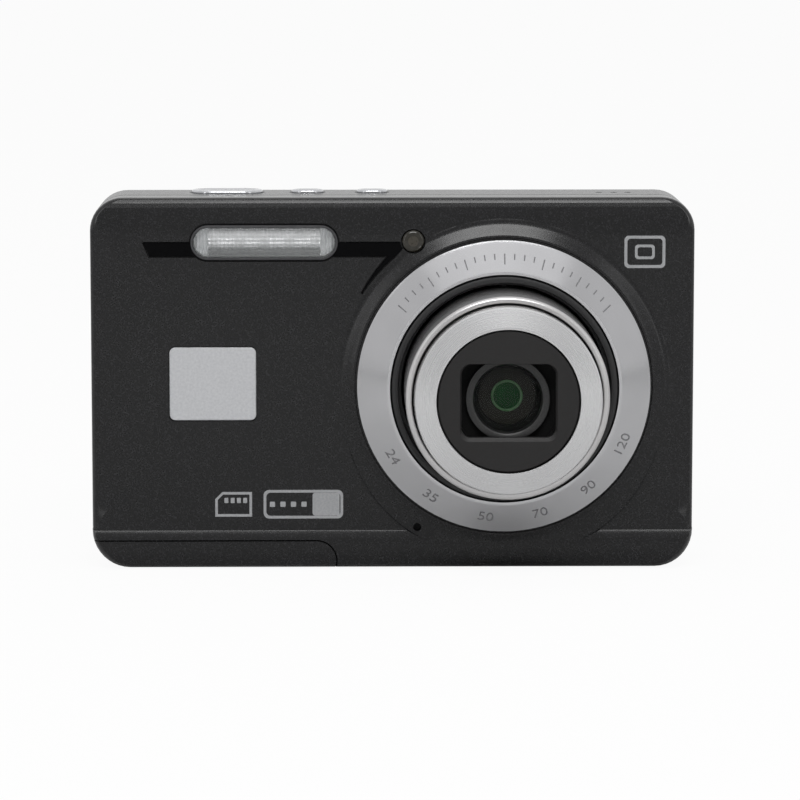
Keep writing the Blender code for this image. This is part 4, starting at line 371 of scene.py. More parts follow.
def strip_outline(grow):
    """The black strip: slanted left end, rim round the flash, tail of painted shade at the collar's foot."""
    low = STRIP_TOP - STRIP_HEIGHT - grow
    high = STRIP_TOP + grow
    radius = FLASH_HEIGHT / 2 + RUN + RIM + grow
    run = (FLASH_WIDTH - FLASH_HEIGHT) / 2
    low_turn = degrees(asin((FLASH_Z - low) / radius))
    high_turn = degrees(asin((high - FLASH_Z) / radius))
    points = [(STRIP_LEFT - grow + STRIP_SLANT, low)]
    points += arc(FLASH_X - run, FLASH_Z, radius, 180 + low_turn, 270)
    points += arc(FLASH_X + run, FLASH_Z, radius, 270, 360 - low_turn)
    # From here the outline follows the tail, painted shade at the collar's foot
    inner = SHADE_TAIL_REACH - grow
    root = inner + SHADE_TAIL_WIDTH + 2 * grow
    root_angle = 180 - degrees(asin((low - LENS_Z) / root))
    for i in range(13):
        angle = radians(root_angle + (SHADE_TAIL_END - root_angle) * i / 12)
        reach = root + (inner + 0.12 + 2 * grow - root) * i / 12
        points.append((LENS_X + reach * cos(angle), LENS_Z + reach * sin(angle)))
    end_angle = 180 - degrees(asin((low - LENS_Z) / inner))
    points += arc(LENS_X, LENS_Z, inner, SHADE_TAIL_END, end_angle, 12)
    lamp = LAMP_RADIUS + RIM - grow
    points += arc(LAMP_X, LAMP_Z, lamp, 215, 187, 4)
    points.append((LAMP_X - lamp - 0.02, high))
    points += arc(FLASH_X + run, FLASH_Z, radius, high_turn, 90)
    points += arc(FLASH_X - run, FLASH_Z, radius, 90, 180 - high_turn)
    return points + [(STRIP_LEFT - grow, high)]


def around(low, high, corner, steps=10):
    """A rectangle between two corners, as an outline that can grow."""
    return lambda grow: rounded(
        low[0] - grow, high[0] + grow, low[1] - grow, high[1] + grow, corner, corner, steps)


def round_hole(u, v, radius):
    """A circle's outline that can grow."""
    return lambda grow: circle(u, v, radius + grow)


def mouth(axis, outline, grow, face, depth, flare=0.12):
    """A cutter from outside a face to a depth behind it, with its mouth eased a little."""
    inward = 1 if depth > face else -1
    wide, narrow = outline(grow + flare * 1.5), outline(grow)
    steps = ((wide, face - inward), (wide, face - inward * flare * 0.5), (narrow, face + inward * flare))
    return levels(axis, *steps, (narrow, depth))


def seat(outline, depth):
    """A straight cutter from before the front face to a depth, with room round its piece."""
    return straight("Y", outline(RUN), FRONT - 1, FRONT + depth)


flash_outline = pill(FLASH_X, FLASH_Z, FLASH_WIDTH, FLASH_HEIGHT)
badge_outline = around(badge_low.xz, badge_high.xz, 0.9, 6)
paint = flake_paint()
rim_y = PARTING - SEAM / 2
shape = skin(front_rings() + [shell_ring(rim_y - 0.15, 0.0), shell_ring(rim_y, 0.12)])
# The border's faces are twisted, and only triangles come through the cuts without a hole
bmesh.ops.triangulate(shape, faces=[face for face in shape.faces if len(face.verts) == 4])
cover = solid("front_shell", shape)
carve(cover, "DIFFERENCE", brow())
slope = [(COLLAR_FOOT + 0.6, -0.4), (COLLAR_FOOT, 0.0), (24.95, 0.03), (24.65, 0.1), (24.4, 0.19)]
slope += [(23.6, 0.56), (22.95, 0.87), (22.75, 0.92), (22.6, 0.9), (COLLAR_CREST, 0.8)]
crest = [(COLLAR_CREST - 0.02, GROOVE), (SPIGOT_BORE - 3, GROOVE), (SPIGOT_BORE - 3, -0.4)]
carve(cover, "UNION", foot_band(), collar_skirt(), lathe(slope + crest))
bore = [(0.001, -3.0), (SPIGOT_BORE, -3.0), (SPIGOT_BORE, GROOVE - 0.02), (COLLAR_CREST, GROOVE - 0.02)]
bore += [(COLLAR_CREST, 3.0), (0.001, 3.0)]
inside = ((rim_y + 1, WALL), (FRONT + EDGE_DEPTH, WALL), (FRONT + WALL, WALL + 0.8))
carve(
    cover,
    "DIFFERENCE",
    skin([shell_ring(y, inset) for y, inset in inside]),
    lathe(bore, start=1.25),
    seat(strip_outline, 0.75),
    seat(flash_outline, 3.0),
    mouth("Y", round_hole(LAMP_X, LAMP_Z, LAMP_RADIUS), RUN, FRONT, FRONT + 3.0, 0.06),
    mouth("Y", round_hole(MIC_X, MIC_Z, 0.6), 0.0, FRONT - BAND_PROUD, FRONT + 3.0, 0.08),
    seat(badge_outline, 0.55),
    door_block(SEAM),
)
settle(cover, "camera_body", paint, "charcoal_shell", "front_cover")

# Rear cover: the other shell half, moulded in charcoal plastic and polished: top and sides mirror softly.
# Openings are moulded through it for the screen, keys, speaker, sockets and strap lug.
KEY_Y = 2.8
CONTROLS_X = -29.5
PAD_Z = 22.3
PAD_RADIUS = 7.2
ROCKER_Z = 48.5
ROCKER_WIDTH = 12.4
ROCKER_HEIGHT = 5.2
TOP_KEYS = {"shutter_button": (10.9, 6.2), "power_button": (4.9, 3.6), "mode_button": (4.7, 3.4)}
BACK_KEYS = {
    "menu_button": (6.0, 3.4),
    "play_button": (6.0, 3.4),
    "delete_button": (6.0, 3.4),
    "record_button": (4.4, 4.4),
}
SPEAKER_X = 34.0
SPEAKER_Y = 1.8
SIDE_SWELL = 0.45
SCREW_Y = 2.6
SCREW_SEAT = 1.6
SCREW_DEPTH = 0.7
screen_low, screen_high = extent("lcd_window")
usb_low, usb_high = extent("usb_socket")
lug_low, lug_high = extent("strap_lug")
BUSH_X, BUSH_Y, _ = middle("tripod_bush")
BUSH_RADIUS = 3.9
BOTTOM_SCREWS = (LENS_X - 14.8, LENS_X + 17.2)
SIDE_SCREWS = (13.0, TOP - 12.5)
screen_outline = around(screen_low.xz, screen_high.xz, 1.5)
rocker_outline = pill(CONTROLS_X, ROCKER_Z, ROCKER_WIDTH, ROCKER_HEIGHT)
# Polished plastic: dark, with a clear but not sharp mirror image at a low angle
polished = grained("polished_charcoal_plastic", "262628", "2e2e30", 0.6, 0.27, 0.0015, ior=1.45)
rim_y = PARTING + SEAM / 2
rings = [shell_ring(y, inset, draw) for y, inset, draw in (
    (BACK - 1.5, WALL + 1.2, 0.0), (BACK - 2.7, WALL, 0.0), (rim_y, WALL, 0.0), (rim_y, 0.12, 0.0),
    (rim_y + 0.15, 0.0, 0.0), (rim_y + 0.7, 0.0, -0.3), (rim_y + 3.0, 0.0, -SIDE_SWELL),
    (BACK - 4.0, 0.0, -SIDE_SWELL), (BACK - 2.0, 0.0, -0.25))]
cover = solid("rear_shell", skin(rings + back_rings()))
cuts = [mouth("Y", screen_outline, SEAM, BACK, BACK - 1.0, 0.05)]
view = around(screen_low.xz, screen_high.xz, 0.6, 6)(-2)
cuts += [straight("Y", view, BACK - 3, BACK + 1)]
for name, size in BACK_KEYS.items():
    x, _, z = middle(name)
    cuts += [mouth("Y", pill(x, z, *size), SEAM, BACK, BACK - 3)]
cuts += [mouth("Y", rocker_outline, 0.3, BACK, BACK - 3)]
cuts += [mouth("Y", round_hole(CONTROLS_X, PAD_Z, PAD_RADIUS), 0.3, BACK, BACK - 3)]
for name, size in TOP_KEYS.items():
    cuts += [mouth("Z", pill(middle(name)[0], KEY_Y, *size), SEAM, TOP, TOP - 3, 0.2)]
for offset in (-2.2, 0.0, 2.2):
    cuts += [mouth("Z", round_hole(SPEAKER_X + offset, SPEAKER_Y, 0.5), 0.0, TOP, TOP - 3, 0.08)]
cuts += [mouth("Z", round_hole(BUSH_X, BUSH_Y, BUSH_RADIUS), SEAM, 0.0, 3.0)]
cuts += [mouth("X", around(usb_low.yz, usb_high.yz, 0.6, 6), SEAM, RIGHT, RIGHT - 3)]
cuts += [mouth("X", around(lug_low.yz, lug_high.yz, 0.8, 6), SEAM, LEFT, LEFT + 3)]
for x in BOTTOM_SCREWS:
    cuts += [mouth("Z", round_hole(x, SCREW_Y, SCREW_SEAT), 0.0, 0.0, SCREW_DEPTH)]
for z in SIDE_SCREWS:
    cuts += [mouth("X", round_hole(SCREW_Y, z, SCREW_SEAT), 0.0, RIGHT, RIGHT - SCREW_DEPTH)]
carve(cover, "DIFFERENCE", *cuts, door_block(SEAM))
settle(cover, "camera_body", polished, "charcoal_shell", "rear_cover")

# Battery door: cut from the same outer form and painted with the front cover.
# A tray inside clears the latch; its slotted barrel hooks over the steel hinge pin.
LUG_Y = 4.6
PIN_ROUND = 0.65
pin_low, pin_high = extent("door_hinge_pin")
door = solid("battery_door_panel", skin(front_rings() + back_rings()))
carve(door, "UNION", foot_band())
carve(door, "INTERSECT", door_block(0.0))
tray = rounded(LEFT + WALL, HINGE_X - HINGE_ROUND - 0.3, WALL, 10.0, 4.4, 1.1)
slot = arc(HINGE_X, HINGE_Z, PIN_ROUND, 90, 270) + arc(HINGE_X + 1.5, HINGE_Z, PIN_ROUND, 270, 450)
cuts = [straight("Y", tray, FRONT + 2.1, BACK - 1.5), straight("Y", slot, pin_low.y - 0.3, pin_high.y + 0.3)]
notch = rounded(HINGE_X - 1.2, HINGE_X + 4.4, -WALL, 6.0, 0.05, 0.05, 2)
cuts += [straight("Y", notch, y - 0.8, y + 0.8) for y in (-LUG_Y, LUG_Y)]
carve(door, "DIFFERENCE", *cuts)
settle(door, "battery_door", paint, "charcoal_shell", "battery_door")

# Case screws: small black cross-head screws sunk in the pockets under the camera and on its right side.
# Turned steel, chemically blackened, so only their edges glint; the cross is pressed into the head.
blackened = grained("blackened_steel", "17171a", "242428", 0.25, 0.34, 0.002, metallic=1.0)


def cross_head(axis, u, v, face, inward):
    """One screw head: domed rim, with a cross recess of two slots."""
    low = face + inward * SCREW_DEPTH
    crown = low - inward * 0.5
    steps = ((1.35, low), (1.35, crown + inward * 0.22), (1.24, crown + inward * 0.06), (1.0, crown))
    head = solid("case_screw", levels(axis, *[(circle(u, v, radius), level) for radius, level in steps]))
    for width, height in ((1.5, 0.36), (0.36, 1.5)):
        recess = block(u, v, width, height, 0.05, 2)
        carve(head, "DIFFERENCE", straight(axis, recess, crown - inward, crown + inward * 0.3))
    return head


places = [("bottom", "Z", x, SCREW_Y, 0.0, 1) for x in BOTTOM_SCREWS]
places += [("side", "X", SCREW_Y, z, RIGHT, -1) for z in SIDE_SCREWS]
for i, (wall, *spot) in enumerate(places):
    head = settle(cross_head(*spot), "camera_body", blackened, "steel")
    head.name = f"case_screw_{wall}_{i % 2 + 1}"


# Flash strip: a thin black lacquered moulding glued into its seat, with a rim that frames the flash window.
# Its right end tapers into a tail along the collar's foot, painted shade standing in for the shadow there.
def stepped(outline, steps, face=FRONT, ends=True):
    """A body through one outline, grown in steps, each at its depth behind a face."""
    return levels("Y", *[(outline(grow), face + depth) for grow, depth in steps], ends=ends)


# Dead-flat lacquer hardly mirrors, so it stays the blackest place on the front; the tail is painted shade
black_lacquer_and_shade = grained("dead_flat_black_lacquer_and_painted_shade", "040405", "070708", 0.8, 0.5, 0.001, specular_ior_level=0.04)
strip = solid("flash_strip", stepped(strip_outline, ((-0.05, 0.0), (0.0, 0.05), (0.0, 0.6))))
carve(strip, "DIFFERENCE", seat(flash_outline, 1.5))
settle(strip, "camera_body", black_lacquer_and_shade, "gloss_black_trim", "flash_trim")

# Flash: a clear moulded window over a bright aluminium trough with the glass tube along its focus.
# The window has upright ribs at both ends and a fine lattice of prisms between them on its inner face.
FLASH_PROUD = 0.25
FLASH_DEPTH = 1.6
RIB_PITCH = 0.55
RIB_DEPTH = 0.3
RIB_BEND = 0.06
LATTICE_PITCH = 0.62
LATTICE_DEPTH = 0.12
RIBBED_END = 2.3
# A thin clear wall: nearly all of it lets the eye through, the rest is surface gloss
frosted = grained("clear_moulded_plastic", "d9dddd", "eef1f1", 0.6, 0.06, 0.0005, ior=1.49, alpha=0.12)
wall = ((-FLASH_PROUD, -FLASH_PROUD), (-0.08, -0.7 * FLASH_PROUD), (0.0, 0.0))
wall += ((0.0, FLASH_DEPTH - 0.3), (-0.25, FLASH_DEPTH - 0.3))
piece("flash_lens", stepped(flash_outline, wall), "camera_body", frosted, "clear_plastic", "flash_window")


def prism_sheet(name, x0, x1, relief, finish):
    """A sheet of small prisms behind the window, as high as its round ends allow."""
    sheet = bmesh.new()
    columns = int((x1 - x0) / 0.1)
    rows = 40
    half = FLASH_HEIGHT / 2 - 0.12
    grid = []
    for i in range(columns + 1):
        x = x0 + (x1 - x0) * i / columns
        over = max(0.0, abs(x) - (FLASH_WIDTH - FLASH_HEIGHT) / 2)
        reach = sqrt(max(0.01, half ** 2 - over ** 2))
        line = []
        for j in range(rows + 1):
            z = reach * (2 * j / rows - 1)
            depth = FRONT + FLASH_DEPTH - 0.25 + relief(x, z)
            line.append(sheet.verts.new(place("Y", FLASH_X + x, FLASH_Z + z, depth)))
        grid.append(line)
    for near, far in zip(grid, grid[1:]):
        for j in range(rows):
            sheet.faces.new((near[j], near[j + 1], far[j + 1], far[j]))
    return piece(name, sheet, "camera_body", finish, "clear_plastic")


def saw(x, pitch):
    """A ridge line between 0 and 1 at a pitch."""
    return abs(2 * ((x / pitch) % 1) - 1)


def lattice(x, z):
    """The relief of crossed ridges."""
    return LATTICE_DEPTH * (saw(x, LATTICE_PITCH) + saw(z, LATTICE_PITCH))


def ribs(bend):
    """The relief of upright ribs that bend with the window's end."""
    return lambda x, z: RIB_DEPTH * saw(x + bend * z * z, RIB_PITCH)


def prisms_painted_light():
    """Prisms coloured by height: painted trough light in the middle, painted shade towards the lips."""
    made, tree, spot = empty_material("prisms_painted_trough_light_and_shade")
    height = add(tree, "SeparateXYZ", (), {"Vector": spot}).outputs["Z"]
    span = {"From Min": flash_low.z * MM, "From Max": flash_high.z * MM}
    share = add(tree, "MapRange", span, {"Value": height})
    grain = add(tree, "TexNoise", {"Scale": 1 / (0.5 * MM)}, {"Vector": spot})
    gloss = add(tree, "MapRange", {"To Min": 0.18, "To Max": 0.3}, {"Value": grain})
    # Painted light and shade: dark at the lips, bright in the middle where the trough's light would show
    shades = ((0.0, "101011"), (1.0, "77787a"), (0.2, "202021"), (0.31, "48494a"), (0.4, "b9babb"))
    shades += ((0.75, "d2d3d4"), (0.89, "b4b5b6"), (0.94, "3c3c3d"))
    surface(tree, share, shades, {"Metallic": 0.5}, {"Roughness": gloss})
    return made


# Ribs over the trough's ends: half mirror, their pale colour painted light of the bright trough behind
ribs_painted_light = grained("ribbed_plastic_painted_trough_light", "b4b6b8", "d6d8d9", 0.9, 0.22, 0.001, metallic=0.5)
sheet_end = FLASH_WIDTH / 2 - 0.15
lattice_end = FLASH_WIDTH / 2 - RIBBED_END
prism_sheet("flash_lattice", -lattice_end, lattice_end, lattice, prisms_painted_light())
prism_sheet("flash_ribs_left", -sheet_end, -lattice_end - 0.05, ribs(RIB_BEND), ribs_painted_light)
prism_sheet("flash_ribs_right", lattice_end + 0.05, sheet_end, ribs(-RIB_BEND), ribs_painted_light)
# A dull grey line between the bright window and the black strip
frame_grey = grained("grey_satin_plastic", "333335", "3f3f41", 0.4, 0.35, 0.002)
rim_section = ((0.02, 0.3), (0.02, -0.04), (0.1, -0.12), (0.28, -0.12), (0.38, -0.005))
rim_section += ((0.14, -0.005), (0.14, 0.3))
flash_frame = stepped(flash_outline, rim_section, ends=False)
piece("flash_frame", flash_frame, "camera_body", frame_grey, "gloss_black_trim")
# Rolled bright: a near mirror that fills the window with light, and a clear tube before it
mirror = grained("bright_rolled_aluminium", "c9cacc", "dcdddf", 1.2, 0.1, 0.001, metallic=1.0)
tube_glass = grained("flash_tube_glass", "c4cccb", "d8dedd", 0.8, 0.05, 0.0008, ior=1.47, alpha=0.4)

# Focus lamp: a small smoky dome pressed into its hole beside the collar, over an amber emitter.
# Dark clear plastic shows a warm ring inside and a small sharp highlight.
smoky = grained("smoky_clear_plastic", "201e18", "2b2922", 0.5, 0.12, 0.001, ior=1.45)
amber = grained("amber_resin", "2f2b24", "3b372e", 0.3, 0.3, 0.002, ior=1.45)
lamp_circle = round_hole(LAMP_X, LAMP_Z, 0.0)
dome = [(LAMP_RADIUS, 2.4), (LAMP_RADIUS, 0.1)]
for turn in (20, 40, 60, 76):
    angle = radians(turn)
    dome.append((LAMP_RADIUS * cos(angle), 0.1 - 0.35 * sin(angle)))
piece("focus_lamp_dome", stepped(lamp_circle, dome), "camera_body", smoky, "clear_plastic", "af_lamp_window")
emitter = stepped(lamp_circle, ((0.8, -0.27), (0.72, -0.28), (0.72, -0.2)))
piece("focus_lamp_ring", emitter, "camera_body", amber, "clear_plastic")

# Badge plate: a blank plate of satin-anodised aluminium with rounded corners, bonded into its seat.
# The marks beside it are pad-printed in grey ink: a card outline, a frame in two fields and a zoom sign.
INK = 0.03
CARD_X = -24.2
FIELDS_X = -13.6
MARK_Z = 9.85
ZOOM_SIGN = (38.1, 48.3)
# Satin metal: an even pale grey with hardly a highlight
plate_metal = grained("satin_badge_aluminium", "b4b5b8", "c2c3c5", 0.35, 0.42, 0.002, metallic=0.35)
badge = stepped(badge_outline, ((-0.12, -0.05), (0.0, 0.05), (0.0, 0.4)))
piece("blank_badge", badge, "camera_body", plate_metal, "bright_silver", "badge_plate")
# Matte ink: one grey at every angle
ink = grained("grey_pad_print_ink", "8d8e90", "9b9c9e", 0.3, 0.5, 0.001)


def join(target, part):
    """Add a shape to another."""
    held = bpy.data.meshes.new("part")
    part.to_mesh(held)
    part.free()
    target.from_mesh(held)
    bpy.data.meshes.remove(held)


def printed(name, areas, body, finish, slot, near, far):
    """Ink areas between two levels; an area is one outline, or an outer and an inner one."""
    mark = bmesh.new()
    for area in areas:
        if isinstance(area[0], list):
            outer, inner = area
            join(mark, levels("Y", (outer, near), (outer, far), (inner, far), (inner, near), ends=False))
        else:
            join(mark, straight("Y", area, near, far))
    return piece(name, mark, body, finish, slot)


def frame_mark(x, z, width, height, corner, line):
    """Outer and inner outline of a rounded frame."""
    inner = block(x, z, width - 2 * line, height - 2 * line, corner - line / 2, 6)
    return [block(x, z, width, height, corner, 6), inner]


def clipped_card(x, z, width, height, clip):
    """A card's outline with one corner cut off."""
    left, right, low, high = x - width / 2, x + width / 2, z - height / 2, z + height / 2
    return [(left, low), (right, low), (right, high), (left + clip, high), (left, high - clip)]


card = [clipped_card(CARD_X, MARK_Z, 5.6, 3.8, 1.1), clipped_card(CARD_X, MARK_Z, 4.8, 3.0, 0.8)]
contacts = [block(CARD_X - 1.1 + i * 0.95, MARK_Z + 0.6, 0.6, 0.8, 0.08, 2) for i in range(4)]
fields = [frame_mark(FIELDS_X, MARK_Z, 12.1, 4.4, 0.85, 0.42)]
fields += [block(FIELDS_X + 3.45, MARK_Z, 4.1, 3.5, 0.4, 6)]
fields += [block(FIELDS_X - 4.7 + i * 1.6, MARK_Z, 0.8, 0.8, 0.12, 3) for i in range(4)]
zoom_sign = [frame_mark(*ZOOM_SIGN, 6.2, 4.9, 0.7, 0.45), frame_mark(*ZOOM_SIGN, 3.0, 2.2, 0.5, 0.4)]
for name, areas in (("card_mark", [card] + contacts), ("two_field_mark", fields), ("zoom_sign", zoom_sign)):
    printed(name, areas, "camera_body", ink, "bright_silver", FRONT, FRONT - INK)

# Lens bezel: a turned aluminium ring, satin-anodised, pressed into the collar by its spigot.
# Its cone carries plain focal numbers, engraved and filled with grey paint, and fine turning marks.
RING_RADIUS = 22.2
RING_BORE = 17.2
RING_BASE = COLLAR_RISE + SEAM
RING_CREST = 4.5
CONE_FOOT = 1.56
NUMBERS = (("24", 212), ("35", 236), ("50", 262), ("70", 286), ("90", 310), ("120", 334))
NUMBER_FOOT = 20.55
NUMBER_SQUEEZE = 0.82
TICK_FOOT = 20.3
MARKED_REACH = 19.7


def turned_metal(name, dark, light, roughness, pitch):
    """Lathe-cut metal: fine rings round the lens axis stretch the highlights."""
    made, tree, spot = empty_material(name)
    centre = {1: (LENS_X * MM, 0.0, LENS_Z * MM)}
    axis = add(tree, "VectorMath", centre, {0: spot}, operation="SUBTRACT")
    flat = add(tree, "VectorMath", {1: (1.0, 0.0, 1.0)}, {0: axis}, operation="MULTIPLY")
    reach = add(tree, "VectorMath", (), {0: flat}, operation="LENGTH").outputs["Value"]
    along = add(tree, "SeparateXYZ", (), {"Vector": spot}).outputs["Y"]
    line = add(tree, "CombineXYZ", (), {"X": reach, "Y": along})
    lines = add(tree, "TexNoise", {"Scale": 1 / (pitch * MM), "Detail": 1.0}, {"Vector": line})
    cloud = add(tree, "TexNoise", {"Scale": 1 / (6 * MM), "Detail": 1.0}, {"Vector": spot})
    spread = {"To Min": roughness * 0.9, "To Max": roughness * 1.1}
    gloss = add(tree, "MapRange", spread, {"Value": lines})
    bump = add(tree, "Bump", {"Strength": 0.4, "Distance": 0.0006 * MM}, {"Height": lines})
    links = {"Roughness": gloss, "Normal": bump}
    surface(tree, cloud, ((0.0, dark), (1.0, light)), {"Metallic": 1.0}, links)
    return made


# Drawn coarser than the real 0.05 mm turning, so that the sheen still shows rings at this distance
satin = turned_metal("satin_anodised_aluminium", "b4b4b6", "bfbfc1", 0.2, 0.12)
ring = [(RING_RADIUS, RING_BASE), (RING_RADIUS, 1.28), (RING_RADIUS - 0.08, 1.36)]
ring += [(RING_RADIUS - 0.5, CONE_FOOT), (RING_BORE + 0.5, RING_CREST), (RING_BORE + 0.08, RING_CREST)]
ring += [(RING_BORE, RING_CREST - 0.1), (RING_BORE, 3.3), (18.2, 3.06), (20.1, 1.3), (20.1, -1.2)]
ring += [(21.1, -1.2), (21.1, RING_BASE)]
piece("lens_bezel", lathe(ring), "camera_body", satin, "satin_silver", "lens_ring")
# Filled engraving: flat grey that does not catch the ring's sheen
paint_fill = grained("grey_engraving_paint", "6a6a6c", "7c7c7e", 0.25, 0.55, 0.001)


def on_cone(reach, angle, lift):
    """A point lifted a little off the bezel's cone."""
    share = (reach - RING_BORE - 0.5) / (RING_RADIUS - RING_BORE - 1.0)
    height = RING_CREST + (CONE_FOOT - RING_CREST) * share
    across, rise = LENS_X + reach * cos(angle), LENS_Z + reach * sin(angle)
    return place("Y", across, rise, FRONT - height - lift)


def ring_numbers():
    """Numbers round the bezel's foot and tick marks round its head."""
    marks = bmesh.new()
    for text, turn in NUMBERS:
        letters = bpy.data.curves.new("number", "FONT")
        letters.body = text
        letters.size = 2.5
        letters.extrude = 0.02
        letters.align_x = "CENTER"
        letters.resolution_u = 4
        holder = link("number", letters)
        mesh = baked(holder)
        for vertex in mesh.vertices:
            u, v, out = vertex.co
            angle = radians(turn) + u / MARKED_REACH
            vertex.co = on_cone(NUMBER_FOOT - v * NUMBER_SQUEEZE, angle, out + 0.015)
        marks.from_mesh(mesh)
        bpy.data.objects.remove(holder, do_unlink=True)
    half = 0.1 / MARKED_REACH
    for i in range(25):
        turn = radians(38 + i * 104 / 24)
        head = TICK_FOOT - (1.5 if i % 4 == 0 else 0.8)
        corners = ((TICK_FOOT, -half), (head, -half), (head, half), (TICK_FOOT, half))
        rings = [[on_cone(reach, turn + side, lift) for reach, side in corners] for lift in (0.0, 0.03)]
        join(marks, skin(rings))
    return marks


piece("bezel_numbers", ring_numbers(), "camera_body", paint_fill, "satin_silver")

# Bezel lip: a moulded black ring, clipped inside the bezel, that seals the barrel.
# Matte plastic, so it stays dark all round.
matte_black = grained("matte_black_plastic", "19191a", "222223", 0.22, 0.55, 0.006, ior=1.46)
lip = [(16.0, 2.4), (17.0, 2.4), (17.0, 4.6), (16.93, 4.74), (16.8, 4.8), (16.4, 4.8)]
lip += [(16.12, 4.7), (16.0, 4.4)]
piece("bezel_lip", lathe(lip), "camera_body", matte_black, "black_plastic", "lens_lip")

# Zoom barrels: two thin aluminium tubes, one sliding in the other, satin at the side, bright at the rim.
# Three moulded followers on the outer one run in the cam ring; a step in the inner one holds the glass.
OUTER_RADIUS = 15.17
OUTER_FRONT = 16.0
OUTER_BORE = 14.2
INNER_RADIUS = 13.9
INNER_BORE = 13.0
FOLLOWER_REACH = 17.35
barrel_metal = turned_metal("satin_barrel_aluminium", "bcbbbb", "c8c7c7", 0.28, 0.1)
outer = [(OUTER_RADIUS, -0.7), (OUTER_RADIUS, OUTER_FRONT - 0.5), (OUTER_RADIUS - 0.08, OUTER_FRONT - 0.3)]
outer += [(OUTER_RADIUS - 0.3, OUTER_FRONT - 0.06), (OUTER_RADIUS - 0.5, OUTER_FRONT)]
outer += [(OUTER_BORE + 0.15, OUTER_FRONT), (OUTER_BORE, OUTER_FRONT - 0.1), (OUTER_BORE, -0.7)]
piece("outer_barrel_tube", lathe(outer), "outer_barrel", barrel_metal, "satin_silver", "zoom_barrel_outer")
for number, turn in enumerate((90, 210, 330)):
    across = Vector((cos(radians(turn)), 0.0, sin(radians(turn))))
    side = Vector((-across.z, 0.0, across.x))
    rings = []
    for reach, radius in ((OUTER_RADIUS - 0.3, 0.55), (FOLLOWER_REACH - 0.2, 0.55), (FOLLOWER_REACH, 0.4)):
        base = Vector((LENS_X, FRONT - 0.3, LENS_Z)) + across * reach
        rings.append([(base + side * u + Vector((0.0, v, 0.0))) * MM for u, v in circle(0, 0, radius, 24)])
    piece(f"follower_{number + 1}", skin(rings), "outer_barrel", matte_black, "black_plastic")
inner = [(INNER_RADIUS, 3.3), (INNER_RADIUS, 18.0), (INNER_BORE, 18.0), (INNER_BORE, 16.175), (12.1, 16.175)]
inner += [(INNER_BORE, 14.375), (INNER_BORE, 3.3)]
piece("inner_barrel_tube", lathe(inner), "inner_barrel", barrel_metal, "satin_silver", "zoom_barrel_inner")

# Nose: a satin silver ring round a matte black plate, whose bevelled window shows the glass.
# The ring is turned and bead-blasted; the plate is moulded with a fine spark-eroded grain.
nose_metal = turned_metal("satin_nose_aluminium", "c6c6c7", "d0d0d1", 0.27, 0.14)
nose = [(INNER_RADIUS, 18.06), (INNER_RADIUS, 18.75), (INNER_RADIUS - 0.06, 18.95)]
nose += [(INNER_RADIUS - 0.2, 19.1), (11.0, 19.78), (10.8, 19.8), (10.65, 19.75), (10.6, 19.6)]
nose += [(10.6, 18.6), (13.05, 18.6), (13.05, 18.06)]
piece("nose_ring", lathe(nose), "inner_barrel", nose_metal, "satin_silver", "front_ring")
eroded = grained("spark_eroded_black_plastic", "191818", "201f1f", 0.2, 0.5, 0.006, specular_ior_level=0.3)
disc = [(0.001, 18.175), (12.85, 18.175), (12.85, 18.425), (10.4, 18.425), (10.4, 19.45)]
plate = solid("nose_plate", lathe(disc + [(10.3, 19.55), (0.001, 19.55)]))
wide = rounded(LENS_X - 7.2, LENS_X + 7.2, LENS_Z - 5.95, LENS_Z + 5.6, 1.4, 1.6)
narrow = rounded(LENS_X - 6.95, LENS_X + 6.95, LENS_Z - 5.35, LENS_Z + 5.5, 1.4, 1.6)
bevel = levels("Y", (wide, FRONT - 21), (wide, FRONT - 19.56), (narrow, FRONT - 19.26), (narrow, FRONT - 17))
settle(carve(plate, "DIFFERENCE", bevel), "inner_barrel", eroded, "black_plastic", "front_plate")
plate.data.set_sharp_from_angle(angle=radians(12.0))

# Glass: the coated front element in its black cell, held by a threaded retainer with a soft satin edge.
# Coatings leave a dark, green-tinted mirror; a pale green ring on the iris rim is a painted highlight.
GLASS_FRONT = 16.4
GLASS_RADIUS = 5.1
BULGE = 1.1
SPHERE = (GLASS_RADIUS ** 2 + BULGE ** 2) / (2 * BULGE)
# The coatings pass nearly all the light, so only a trace of gloss lies over the dark cell
coated = grained("coated_optical_glass", "0a120c", "0d160f", 4.0, 0.04, 0.0, alpha=0.1)
dome = [(0.001, GLASS_FRONT)]
for i in range(1, 17):
    reach = GLASS_RADIUS * i / 16
    dome.append((reach, GLASS_FRONT - SPHERE + sqrt(SPHERE ** 2 - reach ** 2)))
glass = dome + [(GLASS_RADIUS, 13.8), (GLASS_RADIUS - 0.1, 13.7), (0.001, 13.7)]
piece("front_glass", lathe(glass, 96), "inner_barrel", coated, "optical_glass", "front_lens")
# Black anodising: a soft grey edge line round the glass
satin_black = grained("satin_black_aluminium", "262626", "343434", 0.2, 0.38, 0.004, metallic=0.4)
edge = [(4.95, 15.45), (6.25, 15.45), (6.25, 16.35), (6.15, 16.45), (5.5, 16.45), (5.2, 16.3)]
edge += [(5.05, 16.0), (4.95, 15.7)]
piece("glass_retainer", lathe(edge, 96), "inner_barrel", satin_black, "black_plastic", "lens_retainer")
# Deep green from the inner coatings, a dull iris before it, and a painted highlight on the iris edge
green_coat = grained("green_coated_glass", "0c3d18", "135022", 1.5, 0.12, 0.0, specular_ior_level=0.12)
iris_black = grained("blackened_iris_foil", "13120d", "1c1a14", 0.6, 0.4, 0.002, specular_ior_level=0.2)
iris_edge_painted_glint = grained("iris_edge_painted_green_highlight", "3f6a42", "557f55", 0.6, 0.3, 0.001, specular_ior_level=0.3)
rim = [(2.0, 12.22), (2.36, 12.22), (2.36, 12.28), (2.3, 12.34), (2.1, 12.34), (2.0, 12.28)]
piece("iris_edge", lathe(rim, 72), "inner_barrel", iris_edge_painted_glint, "black_plastic")

